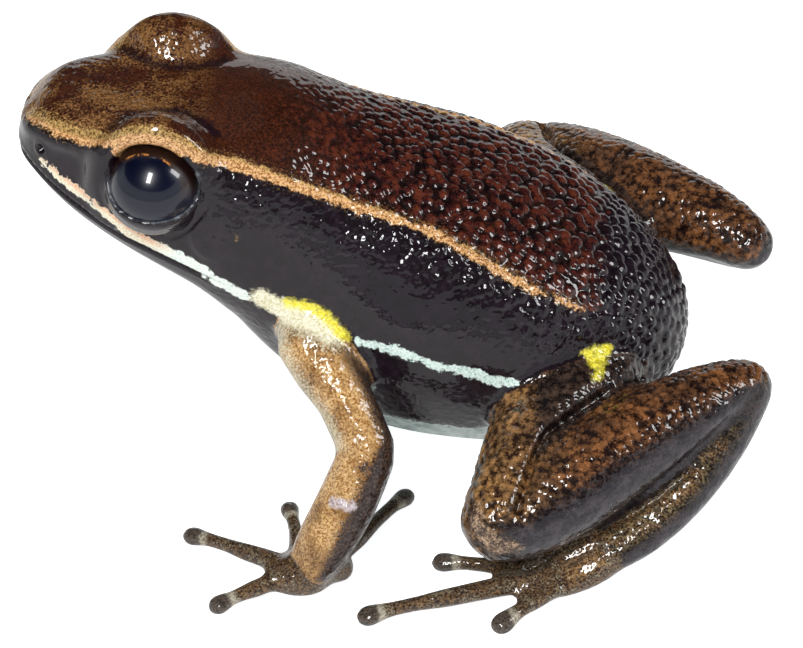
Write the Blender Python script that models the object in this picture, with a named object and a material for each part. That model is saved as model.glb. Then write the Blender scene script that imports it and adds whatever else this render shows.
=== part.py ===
"""A brilliant-thighed frog (genus Allobates) at life size, sitting still with its head raised.

Every named size is in millimetres and degrees. The frog faces -X, its left side is towards -Y,
and the floor is z = 0. The meshes are scaled to metres when a node is finished.
The body is one long loft, parted at the neck. The left limbs are tubes along hand-chosen
joints, parted where they bend, and the right limbs are their mirror images.
"""
import bpy
import bmesh
import numpy as np
from math import pi, sin, cos, radians, sqrt
from mathutils import Vector

MM = 0.001              # metres in a millimetre
GAP = 0.3               # air between two nodes that touch

# Driving dimensions of the trunk, along X
SNOUT_X = -14.95        # tip of the snout
RUMP_X = 11.4           # end of the body
HEAD_PITCH = 23.0       # the lip line rises towards the snout by this angle
NECK_X = -5.3           # the head is parted from the torso here
TIP_ROUNDING = 1.2      # length over which the snout rounds off
TIP_HEIGHT = 0.72       # the snout's foremost point above the lip line
TIP_SQUARENESS = 3.3    # how full the snout's curve is: 2 is a true ellipse
BODY_RINGS = 46
HALF_RING_STEPS = (4, 3, 3, 2, 4)      # steps between the six lines that run along the body

# Height of the body's axis over the floor, which is the lip line in the head: (x, z)
AXIS = [(-14.95, 13.1), (-6.2, 9.4), (-2.5, 7.9), (0.8, 6.5), (4.5, 5.3), (8.0, 4.6), (12.0, 4.0)]

# Head lines against distance back from the snout tip: half width and height over the lip line
CROWN_H = [
    (0, 1.75), (0.5, 2.4), (1.2, 2.9), (2.7, 3.45),
    (4.1, 4.12), (5.6, 4.75), (7.4, 5.45), (9.1, 6.03), (11.1, 6.0),
]
BROW_Y = [
    (0, 1.2), (0.5, 1.65), (1.2, 2.1), (2.7, 2.65),
    (4.1, 2.85), (5.6, 3.2), (7.4, 3.75), (9.1, 4.1), (11.1, 4.4),
]
BROW_H = [
    (0, 1.45), (0.5, 2.05), (1.2, 2.5), (2.7, 3.1),
    (4.1, 3.5), (5.6, 3.95), (7.4, 4.3), (9.1, 4.4), (11.1, 4.45),
]
CHEEK_Y = [
    (0, 1.25), (0.5, 1.7), (0.9, 1.95), (1.3, 2.2), (2.7, 2.8),
    (4.1, 3.35), (5.6, 4.1), (7.4, 4.6), (9.1, 4.95), (11.1, 5.35),
]
CHEEK_H = [(0, 0.75), (0.9, 0.9), (2.7, 1.25), (5.6, 1.5), (9.1, 1.7), (11.1, 1.9)]
LIP_Y = [
    (0, 1.0), (0.5, 1.4), (0.9, 1.8), (1.5, 2.35), (2.2, 2.85), (3.1, 3.35),
    (4.8, 4.05), (6.5, 4.4), (8.2, 4.7), (9.8, 5.1), (11.1, 5.4),
]
JAW_Y = [(0, 0.8), (1.0, 1.3), (1.9, 1.95), (3.3, 2.75), (5.9, 3.65), (8.4, 4.15), (11.1, 4.6)]
JAW_H = [(0, -0.35), (0.6, -0.55), (1.3, -0.7), (3.0, -0.85), (8.2, -1.05), (11.1, -2.0)]
THROAT_H = [(0, -0.5), (1.0, -0.8), (3.0, -1.1), (6.0, -1.3), (8.2, -1.6), (9.8, -2.2), (11.1, -3.1)]

# Torso against x: half width, height of the back over the axis, depth of the belly under it
TORSO_WIDTH = [
    (-8.2, 4.7), (-6.2, 4.92), (-3.5, 5.25), (0.8, 6.32), (4.5, 6.09),
    (7.5, 4.93), (9.5, 3.63), (10.7, 2.33), (11.2, 1.21), (RUMP_X, 0),
]
TORSO_BACK = [
    (-8.2, 5.8), (-6.2, 5.92), (-3.5, 5.6), (0.8, 5.55), (4.5, 5.08),
    (7.5, 4.14), (9.5, 2.96), (10.7, 1.88), (11.2, 1.03), (RUMP_X, 0),
]
TORSO_BELLY = [
    (-8.2, 1.5), (-6.2, 2.23), (-3.0, 4.32), (0.8, 5.26), (4.5, 4.56),
    (7.5, 3.76), (9.5, 3.1), (10.7, 2.07), (11.2, 1.13), (RUMP_X, 0),
]
TORSO_SQUARENESS = 2.7          # 2 is a true ellipse
TORSO_LINES = (90, 48, 18, -8, -42, -90)        # degrees round the section of the six lines
HEAD_TO_TORSO = (-7.8, -4.8)                    # the head's lines turn into the torso's between these x

# Head features
EYE_CENTRE = (-9.24, -3.45, 13.4)
EYE_RADIUS = 1.75
EYE_AXIS = (-0.12, -1.0, 0.12)          # where the left eye looks
SOCKET_GAP = 0.25
MOUND_RADII = (2.65, 2.3, 2.8)           # along the head, across it, and up
LID_PLANE = 0.45                        # the lids' opening, out from the eye's centre
LID_THICKNESS = 0.5
LID_OVERHANG = 0.08                     # the lid ring's middle lies this far outside the socket
TYMPANUM_CENTRE = (-6.86, -4.62, 12.03)
TYMPANUM_AXIS = (-0.1, -0.93, 0.35)
TYMPANUM_RADIUS = 0.72
TYMPANUM_RIM = 0.36
NOSTRIL_CENTRE = (-13.86, -1.78, 13.5)
NOSTRIL_RADIUS = 0.27
MOUTH_END = 9.7                         # the jaw's corner, back from the snout tip
MOUTH_HEIGHT = 0.28
MOUTH_DEPTH = 0.4

# Limb paths of the left side, one row a section: x, y, z, half width, half height
UPPER_ARM = [
    (-3.6, -3.6, 8.7, 1.1, 1.1), (-3.2, -5.6, 7.5, 1.35, 1.25),
    (-1.75, -7.35, 6.25, 1.12, 1.12), (-0.75, -8.85, 4.85, 1.12, 1.1),
]
FOREARM = [
    (-0.75, -8.85, 4.85, 1.12, 1.1), (-1.5, -9.9, 3.2, 1.2, 1.1),
    (-2.35, -10.85, 1.8, 1.15, 1.0), (-2.9, -11.3, 1.0, 1.1, 0.7),
]
PALM_CENTRE = (-3.3, -11.35, 0.5)
PALM_RADII = (1.35, 0.9, 0.75)
THUMB_BALL = ((-1.8, -10.85, 0.55), (0.65, 0.6, 0.6))
THIGH = [
    (8.8, -2.6, 4.4, 1.6, 1.8), (7.5, -4.7, 4.4, 2.3, 2.3), (5.7, -7.8, 4.0, 2.2, 2.2),
    (4.9, -10.0, 3.6, 1.8, 1.85), (4.5, -10.8, 3.4, 1.65, 1.75),
]
SHANK = [
    (4.5, -10.8, 3.4, 1.65, 1.75), (5.6, -10.3, 3.6, 1.85, 1.8), (8.2, -8.3, 4.3, 1.95, 1.95),
    (11.0, -6.2, 4.8, 1.75, 1.7), (13.1, -4.75, 5.0, 1.35, 1.3), (13.7, -4.3, 4.9, 1.15, 1.15),
]
TARSUS = [
    (13.7, -4.3, 4.9, 1.15, 1.15), (12.9, -5.75, 3.9, 1.2, 1.15), (11.4, -7.7, 2.6, 1.2, 1.1),
    (9.8, -9.1, 1.6, 1.15, 0.95), (8.7, -9.78, 1.1, 1.05, 0.85),
]
SOLE = [(8.7, -9.78, 1.1, 1.05, 0.85), (7.7, -10.2, 0.6, 1.1, 0.75), (6.7, -10.7, 0.42, 1.1, 0.5)]
FINGERS = [
    [(-2.2, -10.6, 0.65, 0.6, 0.5), (-1.15, -9.15, 0.5, 0.42, 0.4),
     (0.1, -7.2, 0.45, 0.3, 0.3), (0.55, -6.55, 0.33, 0.46, 0.38)],
    [(-3.3, -10.9, 0.6, 0.45, 0.42), (-3.5, -9.4, 0.5, 0.36, 0.36),
     (-3.8, -8.1, 0.45, 0.3, 0.3), (-3.95, -7.55, 0.33, 0.46, 0.38)],
    [(-3.6, -11.0, 0.6, 0.5, 0.45), (-5.4, -10.2, 0.5, 0.38, 0.38),
     (-7.0, -9.5, 0.45, 0.3, 0.3), (-7.6, -9.25, 0.33, 0.48, 0.38)],
    [(-3.6, -11.5, 0.6, 0.5, 0.45), (-4.9, -12.15, 0.5, 0.4, 0.38),
     (-5.8, -12.7, 0.45, 0.3, 0.3), (-6.25, -12.95, 0.33, 0.5, 0.38)],
]
TOES = [
    [(8.0, -10.0, 0.8, 0.45, 0.4), (6.6, -9.3, 0.5, 0.36, 0.36), (5.9, -9.0, 0.33, 0.42, 0.36)],
    [(7.2, -10.3, 0.8, 0.45, 0.4), (5.4, -9.6, 0.5, 0.38, 0.36),
     (4.0, -9.0, 0.42, 0.3, 0.3), (3.6, -8.85, 0.33, 0.44, 0.37)],
    [(7.0, -10.5, 0.8, 0.5, 0.45), (4.8, -10.4, 0.5, 0.4, 0.4),
     (2.9, -10.2, 0.45, 0.32, 0.3), (2.25, -10.1, 0.33, 0.52, 0.38)],
    [(7.0, -10.9, 0.8, 0.55, 0.45), (5.0, -11.35, 0.55, 0.46, 0.42), (2.4, -12.25, 0.5, 0.4, 0.38),
     (0.3, -12.95, 0.45, 0.33, 0.3), (-0.45, -13.2, 0.33, 0.54, 0.38)],
    [(7.6, -10.7, 0.8, 0.5, 0.45), (6.7, -11.55, 0.5, 0.44, 0.42),
     (5.3, -12.7, 0.45, 0.33, 0.3), (4.7, -13.3, 0.33, 0.54, 0.38)],
]
LIMB_SIDES = 14
DIGIT_SIDES = 8
CAP_RINGS = (35, 70)                    # degrees round a limb's domed end of its two last rings
MERGE_UNDER = 0.004                     # points closer than this are one
SLIVER_UNDER = 0.002                    # edges shorter than this are dropped

# Colours as 0 to 1, and roughness
SKIN_BROWN = (0.16, 0.085, 0.045)
SKIN_BLACK = (0.03, 0.025, 0.03)
SKIN_TAN = (0.36, 0.2, 0.1)
SKIN_GREY = (0.1, 0.085, 0.08)
EYE_BLACK = (0.008, 0.008, 0.012)
WET = 0.25
GLASSY = 0.05


def smooth_curve(points):
    """A function y(x) that runs smoothly through the points and never overshoots them."""
    xs, ys = np.array(points, float).T
    slopes = np.diff(ys) / np.diff(xs)
    tangents = np.zeros(len(xs))
    tangents[0], tangents[-1] = slopes[0], slopes[-1]
    for i in range(1, len(xs) - 1):
        before, after = slopes[i - 1], slopes[i]
        if before * after > 0:
            tangents[i] = 2 * before * after / (before + after)

    def at(x):
        i = int(np.clip(np.searchsorted(xs, x) - 1, 0, len(xs) - 2))
        step = xs[i + 1] - xs[i]
        t = (np.clip(x, xs[0], xs[-1]) - xs[i]) / step
        rise = ys[i] * (2 * t**3 - 3 * t**2 + 1) + ys[i + 1] * (3 * t**2 - 2 * t**3)
        bend = tangents[i] * (t**3 - 2 * t**2 + t) + tangents[i + 1] * (t**3 - t**2)
        return rise + bend * step
    return at


def spline_through(points, steps):
    """Points along a smooth spline: steps[i] pieces between points i and i+1, both ends included."""
    p = np.array(points, float)
    length = np.linalg.norm(np.diff(p[:, :3], axis=0), axis=1)
    slope = np.diff(p, axis=0) / length[:, None]
    tangent = np.empty_like(p)
    tangent[0], tangent[-1] = slope[0], slope[-1]
    for i in range(1, len(p) - 1):
        before, after = length[i - 1], length[i]
        tangent[i] = (slope[i - 1] * after + slope[i] * before) / (before + after)
    out = []
    for i, count in enumerate(steps):
        for t in np.arange(count) / count:
            out.append(p[i] * (2 * t**3 - 3 * t**2 + 1) + p[i + 1] * (3 * t**2 - 2 * t**3)
                       + length[i] * (tangent[i] * (t**3 - 2 * t**2 + t) + tangent[i + 1] * (t**3 - t**2)))
    out.append(p[-1])
    return np.array(out)


# Meshes

def mesh_object(name, bm):
    """Turn a bmesh into a linked object."""
    mesh = bpy.data.meshes.new(name)
    bmesh.ops.recalc_face_normals(bm, faces=bm.faces)
    bm.to_mesh(mesh)
    bm.free()
    obj = bpy.data.objects.new(name, mesh)
    bpy.context.collection.objects.link(obj)
    return obj


def loft(name, rings, close_to_point=False):
    """Skin rings of equal count into one closed body, with a fan or a flat cap on each end."""
    bm = bmesh.new()
    rows = [[bm.verts.new(p) for p in ring] for ring in rings]
    count = len(rows[0])
    for a, b in zip(rows, rows[1:]):
        for i in range(count):
            j = (i + 1) % count
            bm.faces.new((a[i], a[j], b[j], b[i]))
    for row in (rows[0], rows[-1]):
        if close_to_point:
            middle = bm.verts.new(sum((v.co for v in row), Vector()) / count)
            for i in range(count):
                bm.faces.new((row[i], row[(i + 1) % count], middle))
        else:
            bm.faces.new(row)
    return mesh_object(name, bm)


def tube(name, rows, sides, pieces=2, flat_side=(0, 0, 1)):
    """A limb along its path, with elliptic sections and rounded ends."""
    path = spline_through(rows, [pieces] * (len(rows) - 1))
    for end, inner in ((-1, -2), (0, 1)):
        out = path[end] - path[inner]
        out[:3] *= path[end, 3] / np.linalg.norm(out[:3])
        out[3:] = 0
        caps = []
        for angle in CAP_RINGS:
            cap = path[end] + out * sin(radians(angle))
            cap[3:] = path[end, 3:] * cos(radians(angle))
            caps.append(cap)
        path = np.vstack([path, caps]) if end == -1 else np.vstack([caps[::-1], path])
    rings = []
    for i, row in enumerate(path):
        along = path[min(i + 1, len(path) - 1), :3] - path[max(i - 1, 0), :3]
        along /= np.linalg.norm(along)
        high = np.array(flat_side, float)
        high -= along * (high @ along)
        high /= np.linalg.norm(high)
        wide = np.cross(along, high)
        turn = np.linspace(0, 2 * pi, sides, endpoint=False)
        across, upward = np.outer(np.cos(turn), wide), np.outer(np.sin(turn), high)
        rings.append(row[:3] + across * row[3] + upward * row[4])
    return loft(name, rings, close_to_point=True)


def frame_of(axis):
    """Two directions square to an axis."""
    axis = Vector(axis).normalized()
    first = axis.orthogonal().normalized()
    return axis, first, axis.cross(first)


def ball(name, centre, radii, axes=((1, 0, 0), (0, 1, 0), (0, 0, 1)), around=16, rows=10):
    """An ellipsoid with its radii along three axes."""
    rings = []
    for i in range(rows):
        lean = pi * (i + 0.5) / rows
        ring = []
        for turn in np.linspace(0, 2 * pi, around, endpoint=False):
            local = (cos(turn) * sin(lean), sin(turn) * sin(lean), cos(lean))
            p = Vector(centre)
            for part, radius, axis in zip(local, radii, axes):
                p += Vector(axis) * part * radius
            ring.append(p)
        rings.append(ring)
    return loft(name, rings, close_to_point=True)


def ring_tube(name, centre, axis, radius, thickness, around=20, sides=6):
    """A torus about an axis."""
    axis, first, second = frame_of(axis)
    bm = bmesh.new()
    rows = []
    for turn in np.linspace(0, 2 * pi, around, endpoint=False):
        out = first * cos(turn) + second * sin(turn)
        row = []
        for roll in np.linspace(0, 2 * pi, sides, endpoint=False):
            reach, rise = radius + thickness / 2 * cos(roll), thickness / 2 * sin(roll)
            row.append(bm.verts.new(Vector(centre) + out * reach + axis * rise))
        rows.append(row)
    for k in range(around):
        a, b = rows[k], rows[(k + 1) % around]
        for i in range(sides):
            j = (i + 1) % sides
            bm.faces.new((a[i], a[j], b[j], b[i]))
    return mesh_object(name, bm)


def boolean(target, tools, operation):
    """Join the tools to the target or cut them out of it, and remove them.

    The EXACT solver gives an empty mesh on the slim digits here, so the cuts use MANIFOLD.
    """
    for tool in tools:
        cut = target.modifiers.new("cut", "BOOLEAN")
        cut.operation = operation
        cut.solver = "MANIFOLD"
        cut.object = tool
        bpy.context.view_layer.update()
        evaluated = target.evaluated_get(bpy.context.evaluated_depsgraph_get())
        result = bpy.data.meshes.new_from_object(evaluated)
        target.modifiers.clear()
        target.data = result
        bpy.data.objects.remove(tool)
    keep_largest(target)


def keep_largest(obj):
    """Drop every closed surface but the largest."""
    bm = bmesh.new()
    bm.from_mesh(obj.data)
    left = set(bm.verts)
    shells = []
    while left:
        shell = [left.pop()]
        for v in shell:
            for e in v.link_edges:
                other = e.other_vert(v)
                if other in left:
                    left.remove(other)
                    shell.append(other)
        shells.append(shell)
    shells.sort(key=len)
    for shell in shells[:-1]:
        bmesh.ops.delete(bm, geom=shell, context="VERTS")
    bm.to_mesh(obj.data)
    bm.free()


def cut_plane(obj, point, outward):
    """Cut off what lies on the outward side of a plane and close the cut."""
    bm = bmesh.new()
    bm.from_mesh(obj.data)
    everything = bm.verts[:] + bm.edges[:] + bm.faces[:]
    cut = bmesh.ops.bisect_plane(
        bm, geom=everything, dist=1e-5, plane_co=point, plane_no=outward, clear_outer=True)
    rim = [e for e in cut["geom_cut"] if isinstance(e, bmesh.types.BMEdge)]
    bmesh.ops.holes_fill(bm, edges=rim)
    bm.to_mesh(obj.data)
    bm.free()


def part_at(first, second, joint, before, after):
    """Part two limb pieces on the plane that halves their bend, with the gap between them."""
    joint = Vector(joint[:3])
    towards_first = (Vector(before[:3]) - joint).normalized()
    towards_second = (Vector(after[:3]) - joint).normalized()
    across = (towards_second - towards_first).normalized()
    cut_plane(first, joint - across * GAP / 2, across)
    cut_plane(second, joint + across * GAP / 2, -across)


def grown(obj, distance=GAP):
    """A copy with its surface moved out, to cut a neighbour clear."""
    copy = obj.copy()
    copy.data = obj.data.copy()
    bpy.context.collection.objects.link(copy)
    normals = [v.normal.copy() for v in copy.data.vertices]
    for v, normal in zip(copy.data.vertices, normals):
        v.co += normal * distance
    return copy


def finish(obj, name, colour, roughness):
    """Scale a node to metres, and give it its name, its material and smooth faces."""
    bm = bmesh.new()
    bm.from_mesh(obj.data)
    bmesh.ops.remove_doubles(bm, verts=bm.verts, dist=MERGE_UNDER)
    bmesh.ops.triangulate(bm, faces=bm.faces)
    bmesh.ops.dissolve_degenerate(bm, edges=bm.edges, dist=SLIVER_UNDER)
    bmesh.ops.recalc_face_normals(bm, faces=bm.faces)
    bmesh.ops.scale(bm, vec=(MM, MM, MM), verts=bm.verts)
    mesh = bpy.data.meshes.new(name)
    bm.to_mesh(mesh)
    bm.free()
    obj.data = mesh
    obj.name = name
    material = bpy.data.materials.new(name)
    material.use_nodes = True
    surface = material.node_tree.nodes["Principled BSDF"]
    surface.inputs["Base Color"].default_value = (*colour, 1)
    surface.inputs["Roughness"].default_value = roughness
    mesh.materials.append(material)
    mesh.shade_smooth()


def mirrored(obj, name):
    """A copy on the other side of the body."""
    copy = obj.copy()
    copy.data = obj.data.copy()
    bpy.context.collection.objects.link(copy)
    bm = bmesh.new()
    bm.from_mesh(copy.data)
    bmesh.ops.scale(bm, vec=(1, -1, 1), verts=bm.verts)
    bmesh.ops.reverse_faces(bm, faces=bm.faces)
    bm.to_mesh(copy.data)
    bm.free()
    copy.name = name
    copy.data.name = name
    return copy


# The body's own frame

axis_height = smooth_curve(AXIS)
HEAD_BACK = Vector((cos(radians(HEAD_PITCH)), 0, -sin(radians(HEAD_PITCH))))
HEAD_UP = Vector((sin(radians(HEAD_PITCH)), 0, cos(radians(HEAD_PITCH))))
SNOUT = Vector((SNOUT_X, 0, axis_height(SNOUT_X)))


def head_point(back, across, up):
    """A point from its distance back along the lip line, across the head and over the line."""
    return SNOUT + HEAD_BACK * back + Vector((0, across, 0)) + HEAD_UP * up


def head_lines():
    """Six functions that give half width and height of the head's lines, against distance back."""
    pairs = (
        (None, CROWN_H), (BROW_Y, BROW_H), (CHEEK_Y, CHEEK_H),
        (LIP_Y, None), (JAW_Y, JAW_H), (None, THROAT_H),
    )
    flat = [(0, 0), (1, 0)]
    curves = [(smooth_curve(y or flat), smooth_curve(h or flat)) for y, h in pairs]

    def at(back):
        start = 1 - min(1, max(0, back) / TIP_ROUNDING)
        rounding = (1 - start**TIP_SQUARENESS) ** (1 / TIP_SQUARENESS)
        points = [np.array((y(back), h(back))) for y, h in curves]
        tip = np.array((0, TIP_HEIGHT))
        return [tip + (p - tip) * rounding for p in points]
    return at


def torso_lines():
    """The same six lines on the torso, round a rounded section, against x."""
    width = smooth_curve(TORSO_WIDTH)
    back = smooth_curve(TORSO_BACK)
    belly = smooth_curve(TORSO_BELLY)

    def at(x):
        points = []
        for angle in TORSO_LINES:
            side, up = cos(radians(angle)), sin(radians(angle))
            reach = (abs(side)**TORSO_SQUARENESS + abs(up)**TORSO_SQUARENESS) ** (-1 / TORSO_SQUARENESS)
            height = back(x) if up > 0 else belly(x)
            points.append(np.array((width(x) * side * reach, height * up * reach)))
        return points
    return at


def body_loft(name):
    """The head and torso as one closed loft from snout to rump."""
    head, torso = head_lines(), torso_lines()
    rings = []
    for k in range(BODY_RINGS):
        x = SNOUT_X + (RUMP_X - SNOUT_X) * (1 - cos(pi * (k + 0.35) / (BODY_RINGS - 0.3))) / 2
        turn = float(np.clip((x - HEAD_TO_TORSO[0]) / (HEAD_TO_TORSO[1] - HEAD_TO_TORSO[0]), 0, 1))
        share = turn * turn * (3 - 2 * turn)
        on_head, on_torso = head((x - SNOUT_X) / HEAD_BACK.x), torso(x)
        half = [a * (1 - share) + b * share for a, b in zip(on_head, on_torso)]
        whole = [half[1] * (-1, 1)] + half + [half[-2] * (-1, 1)]
        curve = spline_through(whole, (1,) + HALF_RING_STEPS + (1,))[1:-1]
        slope = axis_height(x + 0.05) - axis_height(x - 0.05)
        up = Vector((-slope, 0, 0.1)).normalized()
        centre = Vector((x, 0, axis_height(x)))
        left = [centre + Vector((0, -y, 0)) + up * h for y, h in curve]
        right = [centre + Vector((0, y, 0)) + up * h for y, h in curve[-2:0:-1]]
        rings.append(left + right)
    return loft(name, rings, close_to_point=True)


# Head

def sided(point, side):
    """The left side's point, or its mirror image for side -1."""
    return (point[0], point[1] * side, point[2])


def mouth_groove():
    """A thin band round the lip line, to be cut out between the lips."""
    lip = smooth_curve(LIP_Y)
    path = [(back, lip(back)) for back in np.linspace(MOUTH_END, 0.9, 22)]
    path += [(back, side * lip(0.5) * 0.9) for back, side in ((0.45, 1), (0.3, 0), (0.45, -1))]
    path += [(back, -across) for back, across in path[21::-1]]
    rings = []
    for i, here in enumerate(path):
        before, after = path[max(i - 1, 0)], path[min(i + 1, len(path) - 1)]
        along = Vector((after[0] - before[0], after[1] - before[1])).normalized()
        out = Vector((along.y, -along.x))
        if out.x * (here[0] - MOUTH_END) + out.y * here[1] < 0:
            out = -out
        ring = []
        for reach, up in ((-MOUTH_DEPTH, 1), (1, 1), (1, -1), (-MOUTH_DEPTH, -1)):
            ring.append(head_point(here[0] + out.x * reach, here[1] + out.y * reach, up * MOUTH_HEIGHT / 2))
        rings.append(ring)
    return loft("mouth", rings)


def add_head_features(head):
    """Eye mounds, lids and ear rims go on, and sockets, nostrils and the mouth are cut in."""
    extras, cutters = [], [mouth_groove()]
    socket, nostril = EYE_RADIUS + SOCKET_GAP, NOSTRIL_RADIUS
    lid_radius = sqrt(socket**2 - LID_PLANE**2) + LID_OVERHANG
    for side in (1, -1):
        eye, looks = sided(EYE_CENTRE, side), Vector(sided(EYE_AXIS, side)).normalized()
        mound = ball("mound", eye, MOUND_RADII, (HEAD_BACK, (0, 1, 0), HEAD_UP), 20, 12)
        cut_plane(mound, Vector(eye) + looks * LID_PLANE, looks)
        extras.append(mound)
        extras.append(ring_tube("lid", Vector(eye) + looks * LID_PLANE, looks, lid_radius, LID_THICKNESS))
        ear, ear_axis = sided(TYMPANUM_CENTRE, side), sided(TYMPANUM_AXIS, side)
        extras.append(ring_tube("ear", ear, ear_axis, TYMPANUM_RADIUS, TYMPANUM_RIM, 16, 6))
        cutters.append(ball("socket", eye, (socket,) * 3, around=20, rows=12))
        cutters.append(ball("nostril", sided(NOSTRIL_CENTRE, side), (nostril,) * 3, around=8, rows=5))
    boolean(head, extras, "UNION")
    boolean(head, cutters, "DIFFERENCE")


def build_head_and_torso():
    """Part the body at the neck, and give the head its features."""
    head, torso = body_loft("head"), body_loft("torso")
    slope = (axis_height(NECK_X + 0.05) - axis_height(NECK_X - 0.05)) / 0.1
    back = Vector((1, 0, slope)).normalized()
    neck = Vector((NECK_X, 0, axis_height(NECK_X)))
    cut_plane(head, neck - back * GAP / 2, back)
    cut_plane(torso, neck + back * GAP / 2, -back)
    add_head_features(head)
    finish(head, "head", SKIN_BROWN, WET)
    finish(torso, "torso", SKIN_BROWN, WET)


def build_eyes():
    """Two eyeballs that fill their sockets but for the gap."""
    eye = ball("eye", EYE_CENTRE, (EYE_RADIUS,) * 3, around=20, rows=12)
    finish(eye, "eye_left", EYE_BLACK, GLASSY)
    mirrored(eye, "eye_right")


# Limbs

def wider_tube(rows, sides):
    """A limb piece with the gap added all round, to cut its neighbours clear."""
    return tube("cutter", [row[:3] + (row[3] + GAP, row[4] + GAP) for row in rows], sides)


def palm_shape(extra):
    """The palm with the ball of the thumb, larger all round by the extra."""
    palm = ball("palm", PALM_CENTRE, [radius + extra for radius in PALM_RADII])
    thumb_radii = [radius + extra for radius in THUMB_BALL[1]]
    thumb_ball = ball("thumb_ball", THUMB_BALL[0], thumb_radii, around=12, rows=8)
    boolean(palm, [thumb_ball], "UNION")
    return palm


def build_arm(body):
    """Upper arm, forearm and palm from their paths, and four fingers rooted in the palm."""
    upper = tube("upper_arm", UPPER_ARM, LIMB_SIDES)
    fore = tube("forearm", FOREARM, LIMB_SIDES)
    palm = palm_shape(0)
    part_at(upper, fore, FOREARM[0], UPPER_ARM[-2], FOREARM[1])
    boolean(fore, [palm_shape(GAP)], "DIFFERENCE")
    boolean(upper, [grown(body)], "DIFFERENCE")
    nodes = {"upper_arm": (upper, SKIN_TAN), "forearm": (fore, SKIN_TAN), "palm": (palm, SKIN_GREY)}
    roots = lambda: [palm_shape(GAP), wider_tube(FOREARM, LIMB_SIDES)]
    nodes.update(build_digits("finger", FINGERS, roots))
    return nodes


def build_leg(body):
    """Thigh, shank, tarsus and sole from their paths, and five toes rooted in the sole."""
    thigh = tube("thigh", THIGH, LIMB_SIDES)
    shank = tube("shank", SHANK, LIMB_SIDES)
    tarsus = tube("tarsus", TARSUS, LIMB_SIDES)
    sole = tube("sole", SOLE, LIMB_SIDES)
    part_at(thigh, shank, SHANK[0], THIGH[-2], SHANK[2])
    part_at(shank, tarsus, TARSUS[0], SHANK[-3], TARSUS[1])
    part_at(tarsus, sole, SOLE[0], TARSUS[-2], SOLE[1])
    boolean(thigh, [grown(body)], "DIFFERENCE")
    nodes = {
        "thigh": (thigh, SKIN_BROWN),
        "shank": (shank, SKIN_BROWN),
        "tarsus": (tarsus, SKIN_GREY),
        "sole": (sole, SKIN_GREY),
    }
    roots = lambda: [wider_tube(SOLE, LIMB_SIDES), wider_tube(TARSUS, LIMB_SIDES)]
    nodes.update(build_digits("toe", TOES, roots))
    return nodes


def build_digits(kind, paths, root_cutters):
    """Digits with round discs at their tips, each cut clear of its root and of the digit before."""
    nodes = {}
    for number, rows in enumerate(paths, 1):
        digit = tube(kind, rows, DIGIT_SIDES)
        cutters = root_cutters()
        if number > 1:
            cutters.append(wider_tube(paths[number - 2], DIGIT_SIDES))
        boolean(digit, cutters, "DIFFERENCE")
        nodes[f"{kind}_{number}"] = (digit, SKIN_GREY)
    return nodes


def build_limbs():
    """Finish the left limbs, flat where they stand on the floor, and mirror them to the right."""
    body = body_loft("body")
    left = build_arm(body), build_leg(body)
    bpy.data.objects.remove(body)
    for nodes in left:
        for name, (obj, colour) in nodes.items():
            cut_plane(obj, (0, 0, 0), (0, 0, -1))
            finish(obj, name + "_left", colour, WET)
            mirrored(obj, name + "_right")


def main():
    for obj in list(bpy.data.objects):
        bpy.data.objects.remove(obj)
    build_head_and_torso()
    build_eyes()
    build_limbs()


main()
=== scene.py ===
# %% [markdown]
# # A small ground frog of the rainforest, life size
# The solids of the frog come in packed, in metres, with the frog's nose towards -X and the floor at
# z = 0. This lesson gives them one wet skin with its markings, two eyes, a floor, light and a camera.
# Everything below is placed from that frame, so nothing has to be fitted by eye afterwards.

# %% Load the frame
import math

import bpy
import numpy as np
from mathutils import Matrix, Vector
from mathutils.bvhtree import BVHTree
from mathutils.kdtree import KDTree


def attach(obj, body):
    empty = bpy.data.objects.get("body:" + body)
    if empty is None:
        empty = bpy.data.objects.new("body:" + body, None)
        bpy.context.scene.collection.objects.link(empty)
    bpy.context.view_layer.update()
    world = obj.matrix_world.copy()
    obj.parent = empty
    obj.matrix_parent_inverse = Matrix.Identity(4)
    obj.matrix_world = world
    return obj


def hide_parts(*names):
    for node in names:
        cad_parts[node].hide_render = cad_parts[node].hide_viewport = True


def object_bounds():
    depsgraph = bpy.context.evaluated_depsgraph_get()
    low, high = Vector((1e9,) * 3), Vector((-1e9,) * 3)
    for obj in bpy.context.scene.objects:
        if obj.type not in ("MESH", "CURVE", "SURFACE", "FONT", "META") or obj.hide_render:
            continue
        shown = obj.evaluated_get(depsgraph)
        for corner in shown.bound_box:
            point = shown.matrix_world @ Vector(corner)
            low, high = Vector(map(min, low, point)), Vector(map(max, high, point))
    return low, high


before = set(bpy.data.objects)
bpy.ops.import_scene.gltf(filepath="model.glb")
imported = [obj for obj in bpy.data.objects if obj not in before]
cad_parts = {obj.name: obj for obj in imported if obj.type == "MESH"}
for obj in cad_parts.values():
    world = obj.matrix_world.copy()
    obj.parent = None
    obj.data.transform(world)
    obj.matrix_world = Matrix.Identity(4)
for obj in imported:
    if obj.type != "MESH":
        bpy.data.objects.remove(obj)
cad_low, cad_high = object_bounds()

MM = 0.001
cad_size = [round((b - a) / MM, 2) for a, b in zip(cad_low, cad_high)]
print("solids:", len(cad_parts), "box in mm:", cad_size)

# %% [markdown]
# ## Small helpers
# An operator works on whatever is selected, so each step first selects exactly what it means.
# Hex colours are what a colour picker shows (sRGB). Shaders want linear light, so one function turns
# them. One function adds a shader node, whatever its kind, with its settings and its links.

# %% Helpers for selecting, modifiers and colours
def only(*pieces):
    """Selects these objects alone and makes the first one active."""
    bpy.ops.object.select_all(action="DESELECT")
    for piece in pieces:
        piece.select_set(True)
    bpy.context.view_layer.objects.active = pieces[0]


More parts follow.
